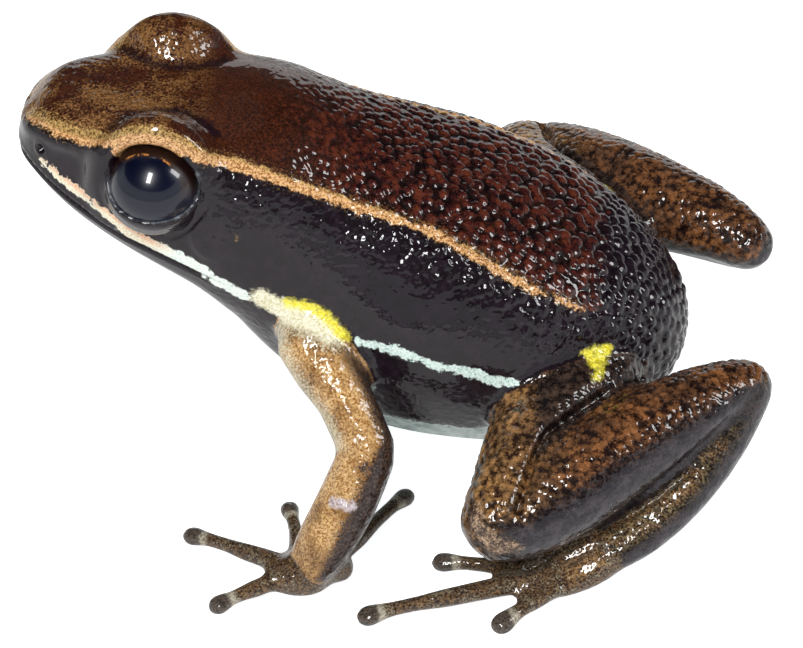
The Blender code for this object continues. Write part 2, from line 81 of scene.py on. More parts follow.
def apply(piece, kind, **settings):
    """Adds a modifier with these settings and applies it."""
    only(piece)
    made = piece.modifiers.new(kind.title(), kind)
    for name, value in settings.items():
        setattr(made, name, value)
    bpy.ops.object.modifier_apply(modifier=made.name)


def colour(code):
    """An sRGB hex colour as linear red, green, blue and alpha."""
    parts = [int(code[i:i + 2], 16) / 255 for i in (1, 3, 5)]
    return [c / 12.92 if c <= 0.04045 else ((c + 0.055) / 1.055) ** 2.4 for c in parts] + [1.0]


def add(tree, kind, inputs=None, out=0, **settings):
    """Adds a shader node and gives one of its outputs, or the node if it has none.

    inputs fills sockets, by name or number, each with a value or with another node's output.
    """
    made = tree.nodes.new("ShaderNode" + kind)
    for name, value in settings.items():
        setattr(made, name, value)
    for socket, value in (inputs or {}).items():
        if isinstance(value, bpy.types.NodeSocket):
            tree.links.new(value, made.inputs[socket])
        else:
            made.inputs[socket].default_value = value
    return made.outputs[out] if len(made.outputs) else made


def new_material(name):
    """An empty node material and its tree."""
    made = bpy.data.materials.new(name)
    made.use_nodes = True
    made.node_tree.nodes.clear()
    return made, made.node_tree


print("sRGB grey #808080 in linear light:", round(colour("#808080")[0], 3))

# %% [markdown]
# ## The camera
# The photograph was taken with a long lens, from the frog's left side and well above it. A long lens
# far away keeps near and far parts at nearly the same scale, so the camera stands 200 mm off with a
# 224 mm lens. The same few numbers turn a pixel of the picture into a ray, which is used further
# down to find where a stripe lies on the skin.

# %% Camera
PICTURE = (803, 648)
CAMERA_TURN = math.radians(3.5)
CAMERA_RISE = math.radians(42.0)
CAMERA_DISTANCE = 200.0
CAMERA_TARGET = np.array([0.0, 0.0, 3.6])
LENS_PIXELS = 5000.0
SENSOR = 36.0

camera_right = np.array([math.cos(CAMERA_TURN), math.sin(CAMERA_TURN), 0.0])
camera_back = np.array([
    math.sin(CAMERA_TURN) * math.cos(CAMERA_RISE),
    -math.cos(CAMERA_TURN) * math.cos(CAMERA_RISE),
    math.sin(CAMERA_RISE),
])
camera_up = np.cross(camera_back, camera_right)
camera_place = CAMERA_TARGET + camera_back * CAMERA_DISTANCE

bpy.ops.object.camera_add(
    location=Vector(camera_place) * MM,
    rotation=(math.pi / 2 - CAMERA_RISE, 0, CAMERA_TURN),
)
camera = bpy.context.object
camera.name = "camera"
camera.data.lens = LENS_PIXELS * SENSOR / PICTURE[0]
camera.data.sensor_width = SENSOR
camera.data.clip_start = 0.01
camera.data.clip_end = 20
bpy.context.scene.camera = camera
print("camera at", [round(v, 1) for v in camera_place], "mm, lens", round(camera.data.lens, 1))


# %% [markdown]
# ## Floor and light
# Wet skin shows its surroundings. The frog of the photograph sits on white, with low white walls round
# it: their reflection makes the lower half of the eye and the flanks grey, with a sharp upper edge,
# and the dark room above leaves the rest black. So the floor here is pale and glows softly. The camera
# sees it plain and bright, because a Light Path node tells its rays from reflections.

# %% Floor
FLOOR_SIZE = 6.0
bpy.ops.mesh.primitive_plane_add(size=FLOOR_SIZE)
floor = bpy.context.object
floor.name = "floor"

# White card, matt, lit from behind: it takes only the faintest shadow under the feet
CARD_GLOW = 0.12
CARD_GLOW_SEEN = 0.95
card, tree = new_material("white card")
glow = add(tree, "MapRange", {
    "Value": add(tree, "LightPath", out="Is Camera Ray"),
    "To Min": CARD_GLOW,
    "To Max": CARD_GLOW_SEEN,
})
paper = add(tree, "BsdfPrincipled", {
    "Base Color": colour("#f4f4f3"),
    "Roughness": 0.9,
    "Emission Color": colour("#fbfdff"),
    "Emission Strength": glow,
})
add(tree, "OutputMaterial", {"Surface": paper})
floor.data.materials.append(card)
print("floor:", FLOOR_SIZE, "m wide")

# %% [markdown]
# Two small flashes give the pin-sharp highlights, one by the lens and one on the right. A faint soft
# light hangs above, and another far behind shows the side that the photograph doesn't. The room is a
# world whose colour depends on the direction: a low pale band in front and at the sides, dark above.

# %% Lights and room
FLASHES = {
    # name: (direction in camera axes right, up and back, width mm, height mm, distance mm, watts)
    "flash_by_lens": ((-0.2, 0.23, 0.95), 60, 150, 350, 0.98),
    "flash_on_right": ((0.8, 0.42, 0.42), 70, 150, 350, 0.45),
    "soft_top": ((-0.25, 0.95, 0.2), 420, 420, 600, 0.06),
    "soft_behind": ((0.06, 0.765, -0.64), 420, 160, 600, 0.24),
}
for name, (aim, width, height, distance, watts) in FLASHES.items():
    way = Vector(camera_right) * aim[0] + Vector(camera_up) * aim[1] + Vector(camera_back) * aim[2]
    bpy.ops.object.light_add(type="AREA", location=way.normalized() * distance * MM)
    lamp = bpy.context.object
    lamp.name = name
    lamp.data.shape = "RECTANGLE"
    lamp.data.size = width * MM
    lamp.data.size_y = height * MM
    lamp.data.energy = watts
    lamp.visible_camera = False
    lamp.rotation_euler = way.to_track_quat("Z", "Y").to_euler()

room = bpy.data.worlds.new("dim room")
bpy.context.scene.world = room
room.use_nodes = True
tree = room.node_tree
tree.nodes.clear()
WALL_TOP = math.sin(math.radians(21))
WALL_EDGE = 0.01
way = add(tree, "SeparateXYZ", {0: add(tree, "TexCoord", out="Generated")}).node.outputs
below_top = add(tree, "MapRange", {
    "Value": way[2],
    "From Min": WALL_TOP + WALL_EDGE,
    "From Max": WALL_TOP - WALL_EDGE,
})
in_front = add(tree, "MapRange", {"Value": way[1], "From Min": 0.6, "From Max": 0.1})
wall = add(tree, "Math", {0: below_top, 1: in_front}, operation="MULTIPLY")
tint = add(tree, "Mix", {0: wall, 6: colour("#0c0d10"), 7: colour("#d9dde2")}, 2, data_type="RGBA")
tint = add(tree, "Mix", {
    0: add(tree, "LightPath", out="Is Camera Ray"),
    6: tint,
    7: colour("#fbfbfa"),
}, 2, data_type="RGBA")
add(tree, "OutputWorld", {"Surface": add(tree, "Background", {"Color": tint})})
bpy.context.scene.view_settings.view_transform = "Standard"
print("lights:", list(FLASHES))


# %% [markdown]
# ## One skin from the solids
# The frog's flesh is thirty-four solids with gaps of 0.3 mm between them. Skin has no such gaps, so
# a copy of all of them is joined and made into one surface. Blender's remesher takes no voxel under
# 0.1 mm, so the copy is made a thousand times larger first, and one unit is one millimetre until
# the skin is finished.

# %% Copy the flesh and join it
EYES = ("eye_left", "eye_right")
flesh_nodes = sorted(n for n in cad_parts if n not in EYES)

copies = []
for name in flesh_nodes:
    copied = bpy.data.objects.new("flesh_" + name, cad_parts[name].data.copy())
    bpy.context.scene.collection.objects.link(copied)
    copies.append(copied)
only(*copies)
bpy.ops.object.join()
skin = bpy.context.object
skin.name = "skin"
skin.data.materials.clear()
skin.data.transform(Matrix.Scale(1 / MM, 4))
bpy.ops.object.mode_set(mode="EDIT")
bpy.ops.mesh.select_all(action="SELECT")
bpy.ops.mesh.remove_doubles(threshold=0.001)
bpy.ops.object.mode_set(mode="OBJECT")

# The shank rests on the foot, and a fold of skin fills what the gap leaves open there
WEB_PLACES = (
    (9.5, -8.2, 2.65), (8.9, -8.65, 2.35), (8.3, -9.15, 2.15),
    (7.7, -9.6, 1.95), (7.1, -9.85, 1.7), (6.5, -10.05, 1.45),
)
WEB_RADIUS = 0.5
webs = []
for side in (1, -1):
    for x, y, z in WEB_PLACES:
        bpy.ops.object.select_all(action="DESELECT")
        bpy.ops.mesh.primitive_uv_sphere_add(
            segments=16,
            ring_count=10,
            radius=WEB_RADIUS,
            location=(x, side * y, z),
        )
        webs.append(bpy.context.object)
only(skin, *webs)
bpy.ops.object.join()
print("joined:", len(skin.data.vertices), "vertices, with", len(webs), "balls under the shanks")

# %% [markdown]
# Forms that are too fine for operators are made further down by moving a mesh's vertices in code.
# Blender hands over all of them at once, and numpy keeps them as rows of x, y and z. A vertex group
# with a weight for each vertex then tells a modifier where to work, and how strongly.

# %% Helpers for vertices
def rows(items, field, kind=np.float32, wide=3):
    """One property of all vertices or edges of a mesh, as rows of numbers."""
    found = np.zeros(len(items) * wide, kind)
    items.foreach_get(field, found)
    return found.reshape(-1, wide)


def corners(piece):
    """A mesh's vertices as rows of x, y and z."""
    return rows(piece.data.vertices, "co").astype(float)


def outward(piece):
    """A mesh's vertex normals as rows."""
    return rows(piece.data.vertices, "normal").astype(float)


def edge_pairs(piece):
    """The two ends of every edge."""
    return rows(piece.data.edges, "vertices", np.int32, 2)


def move_to(piece, places):
    """Puts a mesh's vertices at these places."""
    piece.data.vertices.foreach_set("co", np.asarray(places, np.float32).ravel())
    piece.data.update()


def weigh(piece, name, numbers, weights):
    """Makes a vertex group with a weight for each of these vertices."""
    group = piece.vertex_groups.new(name=name)
    for i, weight in zip(numbers, weights):
        group.add([int(i)], float(weight), "REPLACE")


print("joined box in mm:", corners(skin).min(0).round(2), corners(skin).max(0).round(2))

# %% [markdown]
# The joined copy is swelled until the gaps close, and turned into one closed surface by a voxel
# remesh, which works like pouring plaster round the whole. Then it is smoothed, and below it is
# shrunk back by nearly the same amount. Where the shank lies on the thigh this leaves the crease
# that flesh has.

# %% Close the gaps
GAP = 0.3
SWELL = 0.75 * GAP
COARSE = 0.13
apply(skin, "DISPLACE", strength=SWELL, mid_level=0)
apply(skin, "REMESH", mode="VOXEL", voxel_size=COARSE, use_smooth_shade=True)
apply(skin, "SMOOTH", factor=0.5, iterations=14)
print("closed skin:", len(skin.data.vertices), "vertices")

# %% [markdown]
# The trunk and head are large, calm shapes and the fingers are thin, so they can't take the same
# smoothing. A vertex group says how far each point is from being a finger, and a second, longer
# smoothing reads it. What part of the frog a point belongs to is read from the nearest solid.

# %% Which part each point of skin belongs to
part_faces = []
part_corners = []
part_of_face = []
for name in flesh_nodes:
    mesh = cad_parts[name].data
    first = len(part_corners)
    part_corners.extend([v.co / MM for v in mesh.vertices])
    for face in mesh.polygons:
        part_faces.append([first + i for i in face.vertices])
        part_of_face.append(name)
parts_tree = BVHTree.FromPolygons(part_corners, part_faces)
KINDS = (
    "head", "torso", "upper_arm", "forearm", "palm", "finger",
    "thigh", "shank", "tarsus", "sole", "toe",
)
# The last kind of the trunk, of the arm and of the leg above its sole
TRUNK_ENDS = KINDS.index("torso")
ARM_ENDS = KINDS.index("finger")
SHIN_ENDS = KINDS.index("tarsus")
kind_of_face = [next(k for k, kind in enumerate(KINDS) if n.startswith(kind)) for n in part_of_face]


def kinds_at(places):
    """The number in KINDS of the solid nearest to each place."""
    return np.array([kind_of_face[parts_tree.find_nearest(Vector(p))[2]] for p in places])


def spread(values, pairs, times):
    """Blurs values along the mesh, by averaging each point with its neighbours."""
    values = np.asarray(values, float)
    count = np.bincount(pairs.ravel(), minlength=len(values)) + 1
    for _ in range(times):
        total = values.copy()
        np.add.at(total, pairs[:, 0], values[pairs[:, 1]])
        np.add.at(total, pairs[:, 1], values[pairs[:, 0]])
        values = total / count
    return values


kind = kinds_at(corners(skin))
trunk = spread(kind <= TRUNK_ENDS, edge_pairs(skin), 12)
limb = spread((kind > ARM_ENDS) & (kind <= SHIN_ENDS), edge_pairs(skin), 12)
weigh(skin, "calm", range(len(kind)), np.clip(trunk + 0.35 * limb, 0, 1))
apply(skin, "SMOOTH", factor=0.5, iterations=45, vertex_group="calm")
apply(skin, "DISPLACE", strength=-0.9 * SWELL, mid_level=0)
skin.vertex_groups.clear()
print("skin box in mm:", corners(skin).min(0).round(2), corners(skin).max(0).round(2))


# %% [markdown]
# ## Lids round the eyes
# A frog's eyeball sits in a shell of skin. The lower lid comes up over the ball as a thin membrane
# and the upper lid is the edge of the brow, so what shows is a wide oval, a little taller above.
# The shell is a sphere with its pole turned towards the camera. The pole is deleted, the rings are
# slid back until the first one is the oval, and Solidify gives the shell its thickness inwards.
# A second, finer remesh then fuses shell and head, so no seam can show.

# %% Lid shells
EYE_CENTRE = np.array([-9.24, -3.45, 13.4])
EYEBALL = 1.80
LID_OUTER = 1.96
LID_THICKNESS = 0.24
OPENING_HALF_WIDTH = 1.70
OPENING_RISE = 1.62
OPENING_DROP = 1.46
FINE = 0.1
opening_right = camera_right
opening_up = camera_up
opening_back = camera_back


def mirror_y(places):
    """The same places on the frog's other side."""
    return places * np.array([1.0, -1.0, 1.0])


def lid_shell(name, mirrored):
    """One eye's lids: a spherical shell with an oval opening."""
    bpy.ops.mesh.primitive_uv_sphere_add(segments=72, ring_count=36, radius=1)
    shell = bpy.context.object
    shell.name = name
    top = int(np.argmax(corners(shell)[:, 2]))
    bpy.ops.object.mode_set(mode="EDIT")
    bpy.ops.mesh.select_all(action="DESELECT")
    bpy.ops.object.mode_set(mode="OBJECT")
    shell.data.vertices[top].select = True
    bpy.ops.object.mode_set(mode="EDIT")
    bpy.ops.mesh.delete(type="VERT")
    bpy.ops.object.mode_set(mode="OBJECT")
    unit = corners(shell)
    polar = np.arccos(np.clip(unit[:, 2], -1, 1))
    turn = np.arctan2(unit[:, 1], unit[:, 0])
    tall = np.where(turn > 0, OPENING_RISE, OPENING_DROP)
    reach = 1 / np.hypot(np.cos(turn) / OPENING_HALF_WIDTH, np.sin(turn) / tall)
    edge = np.arcsin(reach / EYEBALL)
    share = (polar - polar.min()) / (math.pi - polar.min())
    polar = edge + share * (math.pi - edge)
    ring = np.outer(np.cos(turn), opening_right) + np.outer(np.sin(turn), opening_up)
    places = ring * np.sin(polar)[:, None] + np.outer(np.cos(polar), opening_back)
    places = EYE_CENTRE + places * LID_OUTER
    move_to(shell, mirror_y(places) if mirrored else places)
    if mirrored:
        shell.data.flip_normals()
    apply(shell, "SOLIDIFY", thickness=LID_THICKNESS, offset=-1)
    return shell


lids = [lid_shell("lids_left", False), lid_shell("lids_right", True)]
only(skin, *lids)
bpy.ops.object.join()
apply(skin, "REMESH", mode="VOXEL", voxel_size=FINE, use_smooth_shade=True)
apply(skin, "SMOOTH", factor=0.5, iterations=5)
print("skin with lids:", len(skin.data.vertices), "vertices")

# %% [markdown]
# ## Finding a mark of the photograph on the skin
# A ray from the camera through a pixel meets the skin where that mark lies. So a stripe is written
# down as a few pixels along its middle, read from the photograph, and becomes a line in space on the
# frog's left side. The right side is the left one mirrored: every field below is worked out with y
# taken as negative.

# %% Rays and the frog's own measures
skin_faces = [tuple(p.vertices) for p in skin.data.polygons]
skin_tree = BVHTree.FromPolygons(corners(skin).tolist(), skin_faces)


def on_skin(pixels):
    """Where these pixels of the photograph lie on the skin, in mm."""
    found = []
    for across, down in pixels:
        way = -camera_back * LENS_PIXELS
        way = way + camera_right * (across - PICTURE[0] / 2) - camera_up * (down - PICTURE[1] / 2)
        hit = skin_tree.ray_cast(Vector(camera_place), Vector(way).normalized())[0]
        if hit is not None:
            found.append(np.array(hit))
    return np.array(found)


def as_left(places):
    """Every place moved to the frog's left side."""
    moved = places.copy()
    moved[:, 1] = -np.abs(moved[:, 1])
    return moved


def ramp(values, low, high):
    """0 below low, 1 above high, and a smooth step between."""
    share = np.clip((values - low) / (high - low), 0, 1)
    return share * share * (3 - 2 * share)


AXIS_X = (-14.95, -6.2, -2.5, 0.8, 4.5, 8.0, 12.0)
AXIS_Z = (13.1, 9.4, 7.9, 6.5, 5.3, 4.6, 4.0)


def lift(places):
    """How far round the body a place is, in degrees above the middle of its flank."""
    middle = np.interp(places[:, 0], AXIS_X, AXIS_Z)
    return np.degrees(np.arctan2(places[:, 2] - middle, np.abs(places[:, 1])))


def line_through(pixels, step=0.05):
    """A dense line in space through the marks at these pixels, nose first."""
    marks = on_skin(pixels)
    length = np.concatenate([[0], np.cumsum(np.linalg.norm(np.diff(marks, axis=0), axis=1))])
    at = np.arange(0, length[-1], step)
    return np.stack([np.interp(at, length, marks[:, k]) for k in range(3)], 1)


def distance_to(places, line):
    """Distance from each place to the nearest point of a dense line, and that point's number."""
    tree = KDTree(len(line))
    for i, point in enumerate(line):
        tree.insert(point, i)
    tree.balance()
    found = [tree.find(p) for p in places]
    return np.array([f[2] for f in found]), np.array([f[1] for f in found])


def beside(places, line):
    """Signed distance to a stripe's line in mm: positive above it, negative below."""
    away = distance_to(places, line)[0]
    order = np.argsort(line[:, 0])
    level = np.interp(places[:, 0], line[order, 0], lift(line)[order])
    return away * np.where(lift(places) >= level, 1.0, -1.0)


# Marks along the middle of each stripe, in pixels from the picture's left and top
GOLD_PIXELS = (
    (30, 115), (45, 122), (60, 130), (80, 136), (98, 140), (109, 141), (118, 138), (130, 135),
    (145, 134), (160, 136), (172, 141), (184, 147), (195, 153), (206, 158), (218, 160), (233, 163),
    (252, 170), (276, 179), (320, 194), (364, 209), (396, 219), (433, 232), (460, 248), (498, 269),
    (528, 288), (550, 296), (580, 310),
)
LIP_PIXELS = (
    (41, 160), (50, 168.5), (58, 176), (77, 191.5), (90, 201), (103, 211), (114, 220), (125, 228),
    (138, 237), (153.5, 246), (169.5, 252.5), (185.5, 260), (201.5, 270.5), (217, 281), (233, 289),
    (244, 295),
)
SIDE_PIXELS = (
    (354, 343), (393, 349), (417, 358), (429, 364), (460, 370), (498, 381), (526, 388), (545, 384),
)
gold_line = line_through(GOLD_PIXELS)
lip_line = line_through(LIP_PIXELS)
side_line = line_through(SIDE_PIXELS)
print("points of the gold, lip and side stripes:", len(gold_line), len(lip_line), len(side_line))

# %% [markdown]
# ## The head's fine forms
# Sculptors press a slit for the mouth, prick the nostrils and push up thin rims with a small tool.
# The same is done here in code: every vertex near a form moves a little along its own normal, by an
# amount that falls off with its distance from the form. The places come from the head's own two
# measures, back from the snout and up from the mouth, and from pixels of the photograph. A few of
# the forms are so soft on the real head that the skin round them is smoothed once more at the end.

# %% Sculpt the mouth, nostrils, ear and lid folds
HEAD_PITCH = math.radians(23)
SNOUT = np.array([-14.95, 0.0, 13.1])
HEAD_BACK = np.array([math.cos(HEAD_PITCH), 0, -math.sin(HEAD_PITCH)])
HEAD_UP = np.array([math.sin(HEAD_PITCH), 0, math.cos(HEAD_PITCH)])
MOUTH_END = 9.2
MOUTH_DEPTH = 0.2
MOUTH_WIDTH = 0.085
LIP_RISE = 0.05
JAW_RISE = 0.03
LIP_FROM_MOUTH = 0.2
LIP_WIDTH = 0.12
NOSTRIL_PIXEL = (41, 148.5)
NOSTRIL_RADIUS = 0.13
NOSTRIL_DEPTH = 0.3
NOSTRIL_RIM_RISE = 0.06
NOSTRIL_RIM_RADIUS = 0.27
NOSTRIL_RIM_WIDTH = 0.08
EAR_PIXEL = (216, 240)
EAR_RADIUS = 0.92
EAR_RING_RISE = 0.04
EAR_RING_WIDTH = 0.12
LID_LIFT = 0.36
LID_FOLDS = (2.02, 2.3)
LID_FOLD_RISE = 0.035
LID_FOLD_DEPTH = 0.03
LID_FOLD_STEP = 0.13
BROW_TOP = np.array([-9.3, -2.75, 15.9])
BROW_RISE = 0.25
BROW_RADIUS = 1.4
BROW_CREASE_PIXELS = (
    (116, 127), (130, 118), (150, 112), (170, 111), (190, 116), (206, 125), (220, 137),
)
BROW_CREASE_DEPTH = 0.13
BROW_CREASE_WIDTH = 0.16
LOREAL_SEAM_PIXELS = ((93, 150), (89, 162), (86, 175), (87, 190))
LOREAL_SEAM_RISE = 0.06
LOREAL_SEAM_WIDTH = 0.25
CANTHUS_RISE = 0.16
CANTHUS_BELOW_GOLD = 0.5
CANTHUS_WIDTH = 0.3
KNEE_CREASE_PIXELS = (
    (648, 379), (604, 392), (575, 412), (550, 429), (533, 456), (521, 490), (517, 510),
)
FOOT_CREASE_PIXELS = (
    (690, 470), (660, 494), (640, 507), (606, 530), (575, 545), (545, 558), (526, 566),
)


def bump_at(distance, width):
    """1 on the form, falling to nothing a few widths away."""
    return np.exp(-(distance / width) ** 2)


places = corners(skin)
normals = outward(skin)
sides = np.where(places[:, 1] > 0, -1.0, 1.0)
left = as_left(places)
kind = kinds_at(places)
on_head = spread(kind == KINDS.index("head"), edge_pairs(skin), 4)

from_snout = left - SNOUT
back_by = from_snout @ HEAD_BACK
up_by = from_snout @ HEAD_UP
mouth_level = -0.17 + 0.2 * back_by / MOUTH_END
in_mouth = (1 - ramp(back_by, MOUTH_END - 0.8, MOUTH_END)) * on_head
push = -MOUTH_DEPTH * bump_at(up_by - mouth_level, MOUTH_WIDTH) * in_mouth
push += LIP_RISE * bump_at(up_by - mouth_level - LIP_FROM_MOUTH, LIP_WIDTH) * in_mouth
push += JAW_RISE * bump_at(up_by - mouth_level + LIP_FROM_MOUTH, LIP_WIDTH) * in_mouth

nostril = on_skin([NOSTRIL_PIXEL])[0]
from_nostril = np.linalg.norm(left - nostril, axis=1)
push -= NOSTRIL_DEPTH * bump_at(from_nostril, NOSTRIL_RADIUS)
push += NOSTRIL_RIM_RISE * bump_at(from_nostril - NOSTRIL_RIM_RADIUS, NOSTRIL_RIM_WIDTH)

ear = on_skin([EAR_PIXEL])[0]
from_ear = np.linalg.norm(left - ear, axis=1)
ear_front = ramp(ear[0] - left[:, 0], -0.1, 0.4)
push += EAR_RING_RISE * bump_at(from_ear - EAR_RADIUS, EAR_RING_WIDTH) * ear_front * on_head

from_eye = left - EYE_CENTRE
out_by = from_eye @ opening_back
ring = np.hypot(from_eye @ opening_right, from_eye @ opening_up)
below = ramp(-(from_eye @ opening_up), -0.4, 0.5) * ramp(out_by, -0.9, -0.3)
for fold in LID_FOLDS:
    push += LID_FOLD_RISE * bump_at(ring - fold, 0.07) * below * on_head
    push -= LID_FOLD_DEPTH * bump_at(ring - fold + LID_FOLD_STEP, 0.06) * below * on_head

# The brow's dome and the crease behind it, and the rounded edge of the snout under the gold stripe
push += BROW_RISE * bump_at(np.linalg.norm(left - BROW_TOP, axis=1), BROW_RADIUS) * on_head
face = np.flatnonzero((left[:, 0] < -5.5) & (kind <= TRUNK_ENDS))
from_crease = distance_to(left[face], line_through(BROW_CREASE_PIXELS))[0]
push[face] -= BROW_CREASE_DEPTH * bump_at(from_crease, BROW_CREASE_WIDTH)
from_seam = distance_to(left[face], line_through(LOREAL_SEAM_PIXELS))[0]
push[face] += LOREAL_SEAM_RISE * bump_at(from_seam, LOREAL_SEAM_WIDTH)
under_gold = beside(left[face], gold_line) + CANTHUS_BELOW_GOLD
before_eye = ramp(-left[face, 0], 10.9, 11.6) * ramp(left[face, 0], -14.9, -14.2)
push[face] += CANTHUS_RISE * bump_at(under_gold, CANTHUS_WIDTH) * before_eye

# The creases where thigh, shank and foot press on each other
rear = np.flatnonzero((left[:, 0] > 2.0) & (kind > ARM_ENDS))
for crease, depth, width in ((KNEE_CREASE_PIXELS, 0.42, 0.16), (FOOT_CREASE_PIXELS, 0.3, 0.14)):
    away = distance_to(left[rear], line_through(crease))[0]
    push[rear] -= depth * bump_at(away, width) + 0.3 * depth * bump_at(away, 4 * width)

# The upper lid is drawn up round its middle, to show as much of the eye as the photograph does
from_lid = [
    from_eye @ opening_right / 1.3,
    (from_eye @ opening_up - 1.25) / 0.8,
    (out_by - 1.1) / 0.9,
]
lifted = np.outer(LID_LIFT * bump_at(np.linalg.norm(from_lid, axis=0), 1.0) * on_head, opening_up)
lifted[:, 1] *= sides

move_to(skin, places + normals * push[:, None] + lifted)

# The soft forms of the brow, the cheek before the eye and the ear drum are smoothed once more
seams = 1 - ramp(from_crease, 0.25, 0.55)
seams = np.maximum(seams, 1 - ramp(from_seam, 0.35, 0.8))
seams = np.maximum(seams, 1 - ramp(from_ear[face], 0.55, 0.8))
weigh(skin, "seams", face[seams > 0.02], seams[seams > 0.02])
apply(skin, "SMOOTH", factor=0.5, iterations=60, vertex_group="seams")
skin.vertex_groups.clear()
print("nostril at", nostril.round(2), "ear at", ear.round(2), "deepest push", push.min().round(2))

# %% [markdown]
# ## Grains of the back
# Behind the head the skin is granular: low domes, close together, from a third of a millimetre at
# the nape to half a millimetre at the rump, and flatter ones on the thigh and shank. Placing a
# sphere for each would leave seams. Instead the skin's own vertices are drawn in a seeded random
# order and kept as grain centres if no other centre is too near, which is how such skin looks: even
# but not regular. Each vertex is then raised by a dome round its nearest centre.

# %% Lay out the grains and raise them
GRAIN_HEIGHT = 0.115
GRAIN_DRAWS = 34000
random = np.random.default_rng(7)


def upper_side(out, places):
    """How far the skin of a leg faces up and inwards, from -1 to 1."""
    return out[:, 2] * 0.88 - out[:, 0] * 0.15 + out[:, 1] * np.where(places[:, 1] > 0, -0.45, 0.45)


def grain_field(places):
    """How strong the grains are at each place, from 0 to 1, and how far apart they are in mm."""
    near = as_left(places)
    parts = kinds_at(places)
    above_gold = beside(near, gold_line)
    grains_end = -2.2 + 1.2 * ramp(-near[:, 0], -4, 4)
    on_back = ramp(near[:, 0], -7.5, 0.5) * ramp(above_gold, grains_end, -0.2)
    on_rump = ramp(near[:, 0], 6.0, 9.0) * ramp(near[:, 2], 1.6, 3.4)
    on_trunk = np.maximum(on_back, on_rump) * (parts <= TRUNK_ENDS)
    on_leg = 0.7 * ramp(upper_side(outward(skin), places), -0.05, 0.35)
    on_leg *= (parts > ARM_ENDS) & (parts <= SHIN_ENDS)
    spacing = np.where(parts > ARM_ENDS, 0.3, 0.32 + 0.17 * ramp(near[:, 0], -5.0, 7.0))
    return np.maximum(on_trunk, on_leg), spacing


def apart(one, other):
    """The squared distance between two places."""
    return (one[0] - other[0]) ** 2 + (one[1] - other[1]) ** 2 + (one[2] - other[2]) ** 2


places = corners(skin)
grain_strength, grain_spacing = grain_field(places)
grain_strength = spread(grain_strength, edge_pairs(skin), 3)
candidates = np.flatnonzero(grain_strength > 0.06)
drawn = random.choice(candidates, min(GRAIN_DRAWS, len(candidates)), replace=False)
cell = 0.5
grid = {}
grain_centres = []
for i in drawn:
    place = places[i]
    key = tuple((place // cell).astype(int))
    gap = grain_spacing[i] * 0.86
    around = [
        other
        for dx in (-1, 0, 1)
        for dy in (-1, 0, 1)
        for dz in (-1, 0, 1)
        for other in grid.get((key[0] + dx, key[1] + dy, key[2] + dz), ())
    ]
    if all(apart(place, other) > gap * gap for other in around):
        grid.setdefault(key, []).append(tuple(place))
        grain_centres.append(place)
grain_centres = np.array(grain_centres)
grain_vigour = random.uniform(0.6, 1.0, len(grain_centres))


def dome_at(places, spacing):
    """Height of the grain at each place, from 0 to 1, and the number of its grain."""
    away, nearest = distance_to(places, grain_centres)
    return np.sqrt(np.clip(1 - (away / (0.54 * spacing)) ** 2, 0, 1)), nearest


dome, nearest = dome_at(places, grain_spacing)
rise = GRAIN_HEIGHT * (dome - 0.35) * grain_strength * grain_vigour[nearest] * grain_spacing / 0.45
move_to(skin, places + outward(skin) * rise[:, None])
print("grains:", len(grain_centres), "on", len(candidates), "vertices")

# %% [markdown]
# The remesh spent as many faces on the smooth belly as on the grains. Decimate merges the ones that
# say least, and a vertex group keeps it off the grains altogether: it works only where the group's
# weight is over nothing. The feet's flats are then set on the floor.

# %% Thin the mesh and bring it back to size
SKIN_TRIANGLES = 196000
KEPT_GRAINS = 0.6
only(skin)
bpy.ops.object.mode_set(mode="EDIT")
bpy.ops.mesh.select_all(action="SELECT")
bpy.ops.mesh.quads_convert_to_tris(quad_method="BEAUTY", ngon_method="BEAUTY")
bpy.ops.object.mode_set(mode="OBJECT")
plain = np.flatnonzero(grain_strength < KEPT_GRAINS)
weigh(skin, "plain", plain, np.ones(len(plain)))
print("kept at full detail:", len(grain_strength) - len(plain), "vertices")
apply(skin, "DECIMATE", ratio=SKIN_TRIANGLES / len(skin.data.polygons), vertex_group="plain")
skin.vertex_groups.clear()
places = corners(skin)
places[:, 2] = np.maximum(places[:, 2], 0.0)
move_to(skin, places)
print("skin:", len(skin.data.vertices), "vertices,", len(skin.data.polygons), "triangles")

# %% [markdown]
# ## Where each colour goes
# Each marking is a zone, stored on the skin's points as one number: 0.5 on the zone's edge, growing by
# 1 a millimetre inwards. The material adds fine noise to it and cuts at 0.5, so no edge between two
# colours is a clean line, just as pigment cells never end in one. Three zones share one vector
# attribute. First come the stripes, whose widths change along the frog.

# %% Stripes and large zones of the trunk
def inside(reach):
    """A zone's number from how far a point lies inside its edge, in mm."""
    return np.clip(0.5 + reach, 0, 1)


def keep(name, *columns):
    """Stores one number, or three as a vector, for each vertex of the skin."""
    kind_of_layer, field = ("FLOAT", "value") if len(columns) == 1 else ("FLOAT_VECTOR", "vector")
    layer = skin.data.attributes.new(name, kind_of_layer, "POINT")
    layer.data.foreach_set(field, np.stack(columns, 1).astype(np.float32).ravel())


